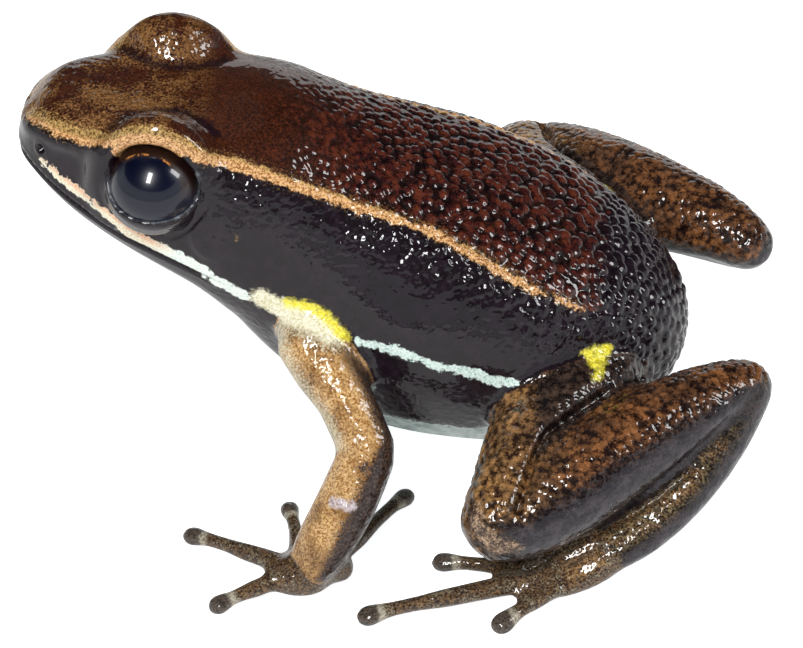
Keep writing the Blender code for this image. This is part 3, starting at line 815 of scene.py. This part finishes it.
GOLD_STATIONS = (-14.9, -12.0, -10.6, -9.2, -7.6, -6.6, -4.0, -0.2, 0.5, 1.1, 3.9, 5.4, 6.0, 6.5, 7.3)
GOLD_HALF_WIDTHS = (0.2, 0.28, 0.32, 0.36, 0.28, 0.24, 0.2, 0.19, 0.1, 0.19, 0.2, 0.18, 0.04, 0.14, 0.1)
FRINGE_WIDTH = 0.08
LIP_STATIONS = (-14.6, -14.0, -13.0, -12.0, -11.0, -10.0, -9.0, -8.0, -7.2, -6.5)
LIP_HALF_WIDTHS = (0.03, 0.09, 0.15, 0.21, 0.24, 0.26, 0.24, 0.33, 0.33, 0.28)
SIDE_STATIONS = (-1.9, -1.0, 0.0, 0.7, 1.0, 1.4, 2.5, 4.4, 5.5)
SIDE_HALF_WIDTHS = (0.12, 0.18, 0.22, 0.18, 0.08, 0.18, 0.22, 0.22, 0.15)
BACK_LIMIT = 7.8
BELLY_TURN = -0.4
BELLY_REACH = 5.0
FACE_LIMIT = 6.0

pairs = edge_pairs(skin)
kind = kinds_at(places)
left = as_left(places)
along = left[:, 0]
from_eye = left - EYE_CENTRE
gold_mm = beside(left, gold_line)
lip_mm = beside(left, lip_line)
side_mm = beside(left, side_line)

out = outward(skin)
out[:, 1] *= np.where(places[:, 1] > 0, -1.0, 1.0)
calm = np.stack([spread(out[:, k], pairs, 8) for k in range(3)], 1)
calm /= np.linalg.norm(calm, axis=1)[:, None]


def is_part(*names):
    """1 on these parts and 0 elsewhere, blurred over their joins."""
    wanted = [KINDS.index(n) for n in names]
    return spread(np.isin(kind, wanted), pairs, 3)


on_trunk = is_part("head", "torso")
on_torso = is_part("torso")
gold_width = np.interp(along, GOLD_STATIONS, GOLD_HALF_WIDTHS)
above_eye = ramp(from_eye @ opening_up, 0.85, 1.15) * ramp(from_eye @ opening_right, -1.7, -1.4)
above_eye *= (np.linalg.norm(from_eye, axis=1) < 2.35) * (gold_mm < 0.1)
gold_zone = np.maximum(inside(gold_width - np.abs(gold_mm)), above_eye) * on_trunk
fringe_width = np.minimum(gold_width, 0.26) - 0.1 + FRINGE_WIDTH - 0.2 * bump_at(along + 9.6, 1.9)
gold_fringe = inside(fringe_width - np.abs(gold_mm - FRINGE_WIDTH)) * on_trunk
lip_zone = inside(np.interp(along, LIP_STATIONS, LIP_HALF_WIDTHS) - np.abs(lip_mm)) * on_trunk
side_zone = inside(np.interp(along, SIDE_STATIONS, SIDE_HALF_WIDTHS) - np.abs(side_mm)) * on_torso
back_zone = inside(np.minimum(gold_mm, (BACK_LIMIT - along) / 3)) * on_trunk
belly_zone = inside((BELLY_TURN - calm[:, 2]) * BELLY_REACH) * on_torso * ramp(along, -3.5, -2.0)
head_zone = inside((-along - FACE_LIMIT) / 5) * np.clip(back_zone * 4 - 1.5, 0, 1)
keep("stripes", gold_zone, lip_zone, side_zone)
keep("trunk", back_zone, belly_zone, on_trunk)
keep("across", np.clip(gold_mm, -2, 2), np.clip(lip_mm, -2, 2), np.clip(side_mm, -2, 2))
print("widest gold stripe:", round(2 * max(GOLD_HALF_WIDTHS), 2), "mm")

# %% [markdown]
# The arm is coppery outside, pale along its front edge and black behind, a black that is partly the
# arm's own dark skin and partly painted shade on its rear side. The shank and foot are brown above
# and black below. These zones follow the way that the skin faces, which is taken from the smoothed
# normals. Small spots are distances to a short line of pixels, as the stripes are: the yellow
# flashes of arm and groin, the cream shoulder, and light and dark patches of knee and foot.

# %% Zones of the limbs and the small spots
YELLOW_PIXELS = ((287, 303), (300, 305), (314, 308), (325, 316), (335, 327), (345, 338))
CREAM_PIXELS = ((261, 298), (275, 306), (292, 314), (310, 321), (330, 333))
GROIN_PIXELS = (
    (585, 353), (609, 347), (588, 357), (607, 353), (591, 361), (604, 359), (594, 366), (601, 366),
    (597, 378),
)
ELBOW_PIXELS = ((364, 468), (378, 466), (393, 460))
# A dark line of painted shade in the crease behind the brow, laid in the flank's black
CREASE_SHADE_PIXELS = (
    (112, 128), (130, 117), (150, 111.5), (170, 110.5), (190, 115), (206, 124), (216, 134),
)
SCAR_PIXELS = ((333, 502), (340, 503), (352, 507))
SPECK_PIXELS = ((236, 238), (239, 236))
KNEE_LIGHT_PIXELS = ((474, 512), (482, 532), (497, 545), (514, 549))
KNEE_BAND_PIXELS = ((487, 524), (500, 525), (514, 525))
FOOT_COPPER_PIXELS = ((572, 576), (586, 566), (598, 560))


def spot(pixels, radius):
    """A zone round a short line of pixels."""
    return inside(radius - distance_to(left, line_through(pixels))[0])


on_arm = is_part("upper_arm", "forearm")
on_upper_arm = is_part("upper_arm")
on_leg = is_part("thigh", "shank", "tarsus")
on_foot = is_part("palm", "finger", "sole", "toe")
shank_up = calm @ np.array([-0.15, 0.45, 0.88])
lid_up = from_eye @ opening_up
lid_tall = np.where(lid_up > 0, OPENING_RISE, OPENING_DROP)
lid_wide = from_eye @ opening_right / OPENING_HALF_WIDTH
lid_mm = (np.hypot(lid_wide, lid_up / lid_tall) - 1) * OPENING_HALF_WIDTH
# The grey rim of the lower lid is a painted reflection of the pale floor; the upper edge is left out
lid_rim_reflection = inside(0.05 - np.abs(lid_mm - 0.02)) * (from_eye @ opening_back > 0)
lid_rim_reflection *= ramp(-lid_up, -0.9, -0.3)
# The arm's rear side is black: partly its own dark skin, partly painted shade
arm_dark_and_shade = np.where(kind == KINDS.index("upper_arm"), calm[:, 0] - 0.6, calm[:, 0] - 0.1)
arm_dark_and_shade = np.maximum(inside(spread(arm_dark_and_shade, pairs, 3)), spot(ELBOW_PIXELS, 0.2)) * on_arm
arm_pale = np.maximum(inside(-0.62 - calm[:, 0]), 0.75 * spot(CREAM_PIXELS, 0.9)) * on_upper_arm
leg_low = np.select(
    [kind == KINDS.index("shank"), kind == KINDS.index("tarsus"), kind == KINDS.index("thigh")],
    [np.minimum(0.1 - shank_up, along - 4.7), 0.42 - calm[:, 2], -0.8 - calm[:, 2]],
    -1.0,
)
leg_border = inside(spread(leg_low + 0.22, pairs, 3))
keep("limbs", on_arm, on_leg, on_foot)
keep("shades", arm_dark_and_shade, arm_pale, inside(spread(leg_low, pairs, 3)))
keep("spots", spot(YELLOW_PIXELS, 0.19), spot(CREAM_PIXELS, 0.44), spot(GROIN_PIXELS, 0.13))
# marks holds the scar, a small speck, and the lower lid's rim of painted reflection
keep("marks", spot(SCAR_PIXELS, 0.2) * on_arm, spot(SPECK_PIXELS, 0.07), lid_rim_reflection)
knee_light = spot(KNEE_LIGHT_PIXELS, 0.32) * on_leg
knee_band = spot(KNEE_BAND_PIXELS, 0.14) * on_leg
keep("patches", knee_light, knee_band, spot(FOOT_COPPER_PIXELS, 0.3))
keep("fringes", gold_fringe, inside(along - 5.6) * is_part("thigh"), head_zone)
# accents holds the tarsus, the brow crease's painted shade, and the dark border of the legs
keep("accents", is_part("tarsus"), spot(CREASE_SHADE_PIXELS, 0.2) * on_trunk, leg_border)
print("dark arm:", int((arm_dark_and_shade > 0.5).sum()), "points")

# %% [markdown]
# Each finger and toe ends in a small disc, darker than the digit, with a pale ring before it and
# bands further up. The bands are made from the distance to the nearest digit tip, measured on the
# floor. The tips come from the CAD solids: the corner of each digit furthest from its root. How
# wrinkled the film of water is goes with it: most on the flank just under the gold stripe.

# %% Distance to the digit tips, grains and wrinkles
WRINKLED_BELOW_GOLD = 1.1
WRINKLED_WIDTH = 1.2
FAR = 9.0
to_tip = np.full(len(places), FAR)
for name in flesh_nodes:
    if name.startswith(("finger", "toe")):
        digit = np.array([v.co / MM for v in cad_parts[name].data.vertices])
        root = parts_tree.find_nearest(Vector(digit[digit[:, 2].argmax()]))[0]
        tip = digit[np.linalg.norm(digit - np.array(root), axis=1).argmax()]
        to_tip = np.minimum(to_tip, np.linalg.norm(places - tip, axis=1))
grain_strength, grain_spacing = grain_field(places)
dome, nearest = dome_at(places, grain_spacing)
keep("to_tip", to_tip)
keep("grain", dome * np.clip(1.5 * spread(grain_strength, pairs, 3), 0, 1))
wrinkled = 0.13 + 1.5 * bump_at(gold_mm + WRINKLED_BELOW_GOLD, WRINKLED_WIDTH)
wrinkled += 0.4 * ramp(-side_mm, 0.2, 1.0)
wrinkled = wrinkled * on_trunk + 1.2 * on_arm + 0.8 * (1 - on_trunk - on_arm)
head_top = ramp(gold_mm, 0.3, 1.0) * ramp(-along, 6.8, 8.4) * on_trunk
keep("wrinkled", wrinkled * ramp(along, -8.4, -6.8) + 1.4 * head_top)
skin.data.transform(Matrix.Scale(MM, 4))
skin.data.update()
print("attributes:", [layer.name for layer in skin.data.attributes][-12:])

# %% [markdown]
# ## Wet skin
# Frog skin is a thin, wet, faintly see-through layer over pigment cells. The gold and white stripes
# are cells full of tiny crystals and look like fine sand, the brown is dusted with them, and the
# flanks are plain black. The wetness is a clear coat, nearly smooth, over a rougher skin. Patterns
# first: each is a noise whose size is given in millimetres.

# %% Patterns of the skin, in real sizes
PATTERN_SIZES = {
    # name: (size in mm, detail, roughness)
    "dust": (0.09, 2.0, 0.6),
    "mottle": (0.5, 4.0, 0.62),
    "cloud": (1.7, 3.0, 0.55),
}
CRYSTAL_SIZE = 0.06

wet_skin, tree = new_material("wet frog skin")
in_mm = add(tree, "VectorMath", {
    0: add(tree, "TexCoord", out="Object"),
    1: (1 / MM, 1 / MM, 1 / MM),
}, operation="MULTIPLY")
pattern = {}
for name, (size, detail, rough) in PATTERN_SIZES.items():
    pattern[name] = add(tree, "TexNoise", {
        "Vector": in_mm,
        "Scale": 1 / size,
        "Detail": detail,
        "Roughness": rough,
    }, "Fac")
crystals = add(tree, "TexVoronoi", {"Vector": in_mm, "Scale": 1 / CRYSTAL_SIZE}, "Color")
pattern["crystals"] = add(tree, "SeparateXYZ", {0: crystals}, 0)
for name in ("grain", "to_tip", "wrinkled"):
    pattern[name] = add(tree, "Attribute", out="Fac", attribute_name=name)
stored = add(tree, "Attribute", out="Vector", attribute_name="across")
across = add(tree, "SeparateXYZ", {0: stored}).node.outputs
pattern["above_gold"], pattern["above_lip"] = across[0], across[1]
pattern["behind"] = add(tree, "SeparateXYZ", {0: in_mm}, 0)
MIXED = {
    # name: (pattern, its share, pattern added to it)
    "dusted": ("crystals", 0.3, "dust"),
    "dusted_cloud": ("crystals", 0.16, "cloud"),
    "dusted_mottle": ("crystals", 0.22, "mottle"),
    "dusty_mottle": ("dusted", 0.6, "mottle"),
    "grain_mottle": ("grain", 0.22, "dusty_mottle"),
    "grain_dusted": ("grain", 0.32, "dusty_mottle"),
    "above_gold_worn": ("dust", 0.5, "above_gold"),
    "above_lip_worn": ("dust", 0.5, "above_lip"),
    "behind_worn": ("mottle", 3.0, "behind"),
    "to_tip_worn": ("mottle", 0.4, "to_tip"),
}
for name, (first, share, second) in MIXED.items():
    sockets = {0: pattern[first], 1: share, 2: pattern[second]}
    pattern[name] = add(tree, "Math", sockets, operation="MULTIPLY_ADD")
print("patterns:", list(pattern))

# %% [markdown]
# A paint is two colours blended by a pattern: darker than the first bound it is the first colour, and
# above the second bound the other. The colours were matched to the photograph, in sRGB.

# %% Paints
PAINTS = {
    # name: (dark colour, light colour, pattern, bounds)
    "flank": ("#0c030a", "#1d0f1b", "mottle", (0.35, 0.75)),
    "back": ("#0d0304", "#48191a", "grain_dusted", (0.85, 1.36)),
    "back_rust": ("#160605", "#602b1a", "grain_dusted", (0.84, 1.34)),
    "head_dark": ("#240c05", "#5d2f18", "dusted", (0.36, 0.98)),
    "head": ("#42240f", "#a07344", "dusted", (0.36, 0.98)),
    "belly": ("#8ea3a0", "#c2d2cc", "mottle", (0.35, 0.65)),
    "gold_low": ("#8f5b28", "#f1c088", "dusted", (0.42, 0.85)),
    "gold_high": ("#513616", "#cfa968", "dusted", (0.42, 0.88)),
    "lip_high": ("#b98558", "#f4c9a6", "dusted", (0.35, 0.7)),
    "lip": ("#c6ab84", "#f3ead0", "dusted", (0.3, 0.65)),
    "lip_white": ("#cbdcd4", "#f4fbf2", "dusted", (0.35, 0.7)),
    "side": ("#a3c6bd", "#e8f8f0", "dusted", (0.35, 0.75)),
    "copper": ("#8a5822", "#e9c186", "dusted", (0.4, 0.88)),
    "copper_dark": ("#3b2412", "#b58850", "dusted", (0.45, 0.95)),
    # limb_black: the arm's rear side, its own dark skin and painted shade together
    "limb_black": ("#1b100f", "#5a463b", "dusted", (0.5, 0.98)),
    "leg": ("#180806", "#946038", "grain_mottle", (0.79, 1.3)),
    "leg_tan": ("#2a1409", "#c49259", "grain_mottle", (0.77, 1.3)),
    "leg_black": ("#080305", "#443731", "grain_mottle", (0.79, 1.34)),
    "leg_low": ("#150f15", "#3f383e", "dusted_mottle", (0.45, 0.85)),
    "olive": ("#22150e", "#9c8d68", "dusted", (0.5, 0.92)),
    "fleck": ("#574a36", "#a89878", "dusted", (0.4, 0.85)),
    "digit": ("#241711", "#8d6f4c", "dusted", (0.45, 0.92)),
    "digit_dark": ("#201815", "#54443c", "dusted", (0.45, 0.9)),
    "knee_light": ("#3d2b20", "#c7a684", "dusted_mottle", (0.5, 0.82)),
    "pale": ("#d3c795", "#f8f5de", "dusted", (0.4, 0.8)),
    "ring": ("#8d8471", "#d6d0bd", "dusted", (0.4, 0.8)),
    "yellow": ("#dcc70a", "#fbf260", "dusted", (0.4, 0.8)),
    "scar": ("#9c9096", "#ddd3d8", "dusted", (0.4, 0.8)),
    # lid: the lower lid's rim, a painted reflection of the pale floor
    "lid": ("#3c3e44", "#7a8086", "mottle", (0.35, 0.65)),
}
paint = {}
for name, (dark, light, by, bounds) in PAINTS.items():
    blend = add(tree, "MapRange", {
        "Value": pattern[by],
        "From Min": bounds[0],
        "From Max": bounds[1],
    }, interpolation_type="SMOOTHSTEP")
    paint[name] = add(tree, "Mix", {0: blend, 6: colour(dark), 7: colour(light)}, 2, data_type="RGBA")
print("paints:", len(paint))

# %% [markdown]
# Each stored zone is worn by a noise and then cut at 0.5, which gives it a ragged edge. A few more
# masks need no stored zone: they are steps in a pattern or in a distance.

# %% Cut the zones
RAGGED_SIZES = {"broad": 0.4, "coarse": 0.2, "fine": 0.09}
ragged = {}
for name, size in RAGGED_SIZES.items():
    settings = {"Vector": in_mm, "Scale": 1 / size, "Detail": 4.0, "Roughness": 0.7}
    ragged[name] = add(tree, "TexNoise", settings, "Color")
ZONES = {
    # stored vector: (its three masks, how worn, softness, size of the wear)
    "stripes": (("gold", "lip", "side"), 0.75, 0.04, "broad"),
    "trunk": (("back", "belly", "trunk"), 0.8, 0.12, "coarse"),
    "fringes": (("fringe", "thigh", "face"), 2.0, 0.15, "fine"),
    "limbs": (("arm", "leg", "foot"), 0.3, 0.2, "coarse"),
    "shades": (("arm_dark_and_shade", "arm_pale", "leg_low"), 1.5, 0.15, "fine"),
    "spots": (("yellow", "cream", "groin"), 0.7, 0.15, "coarse"),
    "marks": (("scar", "speck", "lid"), 0.4, 0.1, "coarse"),
    "patches": (("knee_light", "knee_band", "foot_copper"), 1.2, 0.15, "coarse"),
    "accents": (("tarsus", "crease", "leg_border"), 0.8, 0.15, "coarse"),
}
mask = {}
for stored_name, (names, wear, softness, size) in ZONES.items():
    stored = add(tree, "Attribute", out="Vector", attribute_name=stored_name)
    sockets = {0: ragged[size], 1: (wear,) * 3, 2: stored}
    worn = add(tree, "VectorMath", sockets, operation="MULTIPLY_ADD")
    edge = 0.5 + wear / 2
    zones = add(tree, "MapRange", {
        6: worn,
        7: (edge - softness,) * 3,
        8: (edge + softness,) * 3,
    }, 1, data_type="FLOAT_VECTOR", interpolation_type="SMOOTHSTEP")
    mask.update(zip(names, add(tree, "SeparateXYZ", {0: zones}).node.outputs))
STEPS = {
    # mask: (pattern, where it is 0, where it is 1)
    "clouded": ("dusted_cloud", 0.54, 0.66),
    "mottled": ("dusted_mottle", 0.56, 0.7),
    "flecked": ("dusted_mottle", 0.66, 0.76),
    "ahead": ("behind", -7.0, -9.0),
    "nape": ("behind", -1.0, -6.0),
    "front_lip": ("behind", -8.4, -9.6),
    "gold_upper": ("above_gold_worn", 0.16, 0.3),
    "gold_edge": ("above_gold_worn", 0.38, 0.46),
    "lip_upper": ("above_lip_worn", 0.24, 0.34),
    "knee": ("behind_worn", 9.0, 6.0),
    "ring": ("to_tip_worn", 1.5, 1.36),
    "disc": ("to_tip_worn", 1.22, 1.12),
}
for name, (source, low, high) in STEPS.items():
    mask[name] = add(tree, "MapRange", {"Value": pattern[source], "From Min": low, "From Max": high})
print("masks:", len(mask))

# %% [markdown]
# The paints are laid over each other from the ground up, as a model maker does it with a sponge and
# a fine brush. A layer covers where all its masks are 1, by the share in its last column.

# %% Lay the paints
LAYERS = (
    # (paint, the masks that it is laid through, how much it covers)
    ("back", ("back",), 1.0),
    ("back_rust", ("back", "mottled"), 1.0),
    ("head_dark", ("back", "nape"), 0.7),
    ("head_dark", ("face",), 1.0),
    ("back", ("face", "mottled"), 0.5),
    ("head", ("face", "clouded", "ahead"), 1.0),
    ("belly", ("belly",), 1.0),
    # Painted shade in the crease behind the brow
    ("flank", ("crease",), 0.8),
    ("gold_high", ("fringe", "ahead"), 0.6),
    ("gold_high", ("fringe",), 0.22),
    ("gold_low", ("gold",), 1.0),
    ("gold_high", ("gold", "gold_edge"), 1.0),
    ("gold_high", ("gold", "gold_upper", "ahead"), 1.0),
    ("lip_white", ("lip",), 1.0),
    ("lip", ("lip", "front_lip"), 1.0),
    ("lip_high", ("lip", "lip_upper", "front_lip"), 1.0),
    ("side", ("side",), 1.0),
    ("gold_high", ("speck",), 1.0),
    # The lower lid's rim of painted reflection
    ("lid", ("lid", "trunk"), 1.0),
    ("copper", ("arm",), 1.0),
    ("copper_dark", ("arm", "clouded"), 1.0),
    # The arm's rear side: its own dark skin and painted shade
    ("limb_black", ("arm_dark_and_shade",), 1.0),
    ("pale", ("arm_pale",), 0.5),
    ("pale", ("cream",), 1.0),
    ("yellow", ("yellow",), 1.0),
    ("scar", ("scar",), 0.85),
    ("leg", ("leg",), 1.0),
    ("leg_tan", ("leg", "knee"), 1.0),
    ("leg_black", ("leg", "clouded"), 0.55),
    ("leg_black", ("leg", "thigh"), 0.9),
    ("olive", ("leg", "tarsus"), 0.55),
    ("leg_black", ("leg", "leg_border"), 0.8),
    ("leg_low", ("leg", "leg_low"), 1.0),
    ("knee_light", ("knee_light",), 1.0),
    ("leg_black", ("knee_band",), 0.9),
    ("yellow", ("groin",), 1.0),
    ("digit", ("foot",), 1.0),
    ("digit_dark", ("foot", "mottled"), 1.0),
    ("fleck", ("foot", "flecked"), 0.6),
    ("copper_dark", ("foot_copper",), 0.6),
    ("ring", ("foot", "ring"), 0.55),
    ("digit_dark", ("foot", "disc"), 0.9),
)
skin_colour = paint["flank"]
for name, through, cover in LAYERS:
    laid = mask[through[0]]
    factors = [mask[other] for other in through[1:]]
    if cover < 1:
        factors.append(cover)
    for factor in factors:
        laid = add(tree, "Math", {0: laid, 1: factor}, operation="MULTIPLY")
    skin_colour = add(tree, "Mix", {0: laid, 6: skin_colour, 7: paint[name]}, 2, data_type="RGBA")
print("layers:", len(LAYERS))

# %% [markdown]
# The shine decides whether this looks wet. The fine wrinkles of the film of water are a bump of a few
# hundredths of a millimetre, felt by both the skin and the clear coat over it. Sharp little lights on
# every wrinkle and grain come from that bump and from the small flashes.

# %% Shine
WRINKLE_SIZE = 0.3
WRINKLE_DEPTH = 0.085
DUST_DEPTH = 0.02
wrinkle = add(tree, "TexNoise", {
    "Vector": in_mm,
    "Scale": 1 / WRINKLE_SIZE,
    "Detail": 1.0,
    "Roughness": 0.4,
}, "Fac")
wrinkle = add(tree, "Math", {0: wrinkle, 1: pattern["wrinkled"]}, operation="MULTIPLY")
film = add(tree, "Bump", {"Height": wrinkle, "Strength": 0.8, "Distance": WRINKLE_DEPTH * MM})
rough_skin = add(tree, "Bump", {
    "Height": pattern["dust"],
    "Strength": 0.4,
    "Distance": DUST_DEPTH * MM,
    "Normal": film,
})
wet = add(tree, "BsdfPrincipled", {
    "Base Color": skin_colour,
    "Roughness": 0.5,
    "IOR": 1.4,
    "Specular IOR Level": 0.15,
    "Coat Weight": 1.0,
    "Coat Roughness": 0.02,
    "Coat IOR": 1.45,
    "Normal": rough_skin,
    "Coat Normal": film,
})
add(tree, "OutputMaterial", {"Surface": wet})
skin.data.materials.append(wet_skin)
only(skin)
bpy.ops.object.shade_smooth()
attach(skin, "root")
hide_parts(*flesh_nodes)
print("skin dressed with", len(tree.nodes), "nodes")

# %% [markdown]
# ## Eyes
# The eye is a ball with a slightly prouder cornea. Through the clear front one sees a blue-black
# pupil, a little wider than tall, and a dark brown iris with a thin, broken golden line at the
# pupil's upper edge. The iris's lower half is tinted blue: a painted reflection of the pale floor.
# The ball is a UV sphere whose pole is the pupil's middle, so its rings run round the pupil. Its
# colours are painted by angle, and its depth comes from a mirror-smooth coat.

# %% Eyeballs
CORNEA_BULGE = 0.06
CORNEA_ANGLE = 50.0
GAZE = np.array([-0.17, -0.77, 0.61])
PUPIL_WIDER = 0.18
gaze_right = np.cross([0, 0, 1], GAZE)
gaze_right /= np.linalg.norm(gaze_right)
gaze_up = np.cross(GAZE, gaze_right)
gaze_up /= np.linalg.norm(gaze_up)
gaze_front = np.cross(gaze_right, gaze_up)


def eyeball(name, mirrored):
    """One eyeball, pupil first, with its own angles stored for the paint."""
    bpy.ops.object.select_all(action="DESELECT")
    bpy.ops.mesh.primitive_uv_sphere_add(segments=128, ring_count=64, radius=EYEBALL)
    ball = bpy.context.object
    ball.name = name
    own = corners(ball)
    angle = np.degrees(np.arccos(np.clip(own[:, 2] / EYEBALL, -1, 1)))
    swell = 1 + CORNEA_BULGE / EYEBALL * (1 - ramp(angle, CORNEA_ANGLE * 0.55, CORNEA_ANGLE * 1.25))
    turn = np.arctan2(own[:, 1], own[:, 0])
    turned = np.outer(own[:, 0], gaze_right) + np.outer(own[:, 1], gaze_up)
    turned += np.outer(own[:, 2], gaze_front)
    places = EYE_CENTRE + turned * swell[:, None]
    move_to(ball, (mirror_y(places) if mirrored else places) * MM)
    if mirrored:
        ball.data.flip_normals()
    angle *= 1 - PUPIL_WIDER * np.cos(turn) ** 2
    stored = {"from_pupil": angle, "round_pupil": np.degrees(turn), "up_pupil": own[:, 1]}
    for label, values in stored.items():
        layer = ball.data.attributes.new(label, "FLOAT", "POINT")
        layer.data.foreach_set("value", values.astype(np.float32))
    only(ball)
    bpy.ops.object.shade_smooth()
    return ball


print("the eyes look along", gaze_front.round(2))

# %% [markdown]
# Each ring of colour is a step in the angle from the pupil's middle, and the golden line is what is
# left where several steps overlap. A fine noise frays them.

# %% Paint of the eye, and both eyes
PUPIL_ANGLE = 38.5
GOLD_GAP_TURN = 80.0
GOLD_GAP_HALF = 12.0
IRIS_FLECK_SIZE = 0.12
eye_glass, tree = new_material("wet clear cornea over a dark iris")
from_pupil = add(tree, "Attribute", out="Fac", attribute_name="from_pupil")
round_pupil = add(tree, "Attribute", out="Fac", attribute_name="round_pupil")
up_pupil = add(tree, "Attribute", out="Fac", attribute_name="up_pupil")
in_mm = add(tree, "VectorMath", {
    0: add(tree, "TexCoord", out="Object"),
    1: (1 / MM, 1 / MM, 1 / MM),
}, operation="MULTIPLY")
flecks = add(tree, "TexNoise", {"Vector": in_mm, "Scale": 1 / IRIS_FLECK_SIZE, "Detail": 2.0}, "Fac")
worn = add(tree, "Math", {0: flecks, 1: 7.0, 2: from_pupil}, operation="MULTIPLY_ADD")
EYE_STEPS = {
    # mask: (what it is read from, where it is 0, where it is 1)
    # low tints the iris's lower half blue: a painted reflection of the pale floor
    "low": (up_pupil, 0.2, -0.4),
    "pupil": (worn, PUPIL_ANGLE + 4.5, PUPIL_ANGLE + 2.5),
    "gold_in": (worn, PUPIL_ANGLE + 2.0, PUPIL_ANGLE + 3.0),
    "gold_out": (worn, PUPIL_ANGLE + 6.0, PUPIL_ANGLE + 5.0),
    "upper": (round_pupil, 44.0, 52.0),
    "rear": (round_pupil, 140.0, 132.0),
    "broken": (flecks, 0.42, 0.5),
}
eye_mask = {}
for name, (source, low, high) in EYE_STEPS.items():
    eye_mask[name] = add(tree, "MapRange", {"Value": source, "From Min": low, "From Max": high})
gap = add(tree, "Math", {0: round_pupil, 1: GOLD_GAP_TURN, 2: GOLD_GAP_HALF}, operation="COMPARE")
golden = add(tree, "Math", {0: 1.0, 1: gap}, operation="SUBTRACT")
for name in ("gold_in", "gold_out", "upper", "rear", "broken"):
    golden = add(tree, "Math", {0: golden, 1: eye_mask[name]}, operation="MULTIPLY")
eye_colour = colour("#22120f")
# The blue of the lower half is a painted reflection; the pupil and golden line are the eye's own
for laid, code in ((eye_mask["low"], "#080d24"), (eye_mask["pupil"], "#04081f"), (golden, "#b5763a")):
    eye_colour = add(tree, "Mix", {0: laid, 6: eye_colour, 7: colour(code)}, 2, data_type="RGBA")
cornea = add(tree, "BsdfPrincipled", {
    "Base Color": eye_colour,
    "Roughness": 0.3,
    "IOR": 1.376,
    "Coat Weight": 1.0,
    "Coat Roughness": 0.01,
    "Coat IOR": 1.376,
})
add(tree, "OutputMaterial", {"Surface": cornea})
for side, mirrored in (("left", False), ("right", True)):
    ball = eyeball("eyeball_" + side, mirrored)
    ball.data.materials.append(eye_glass)
    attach(ball, "root")
    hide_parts("eye_" + side)
    print(ball.name, len(ball.data.polygons), "faces")
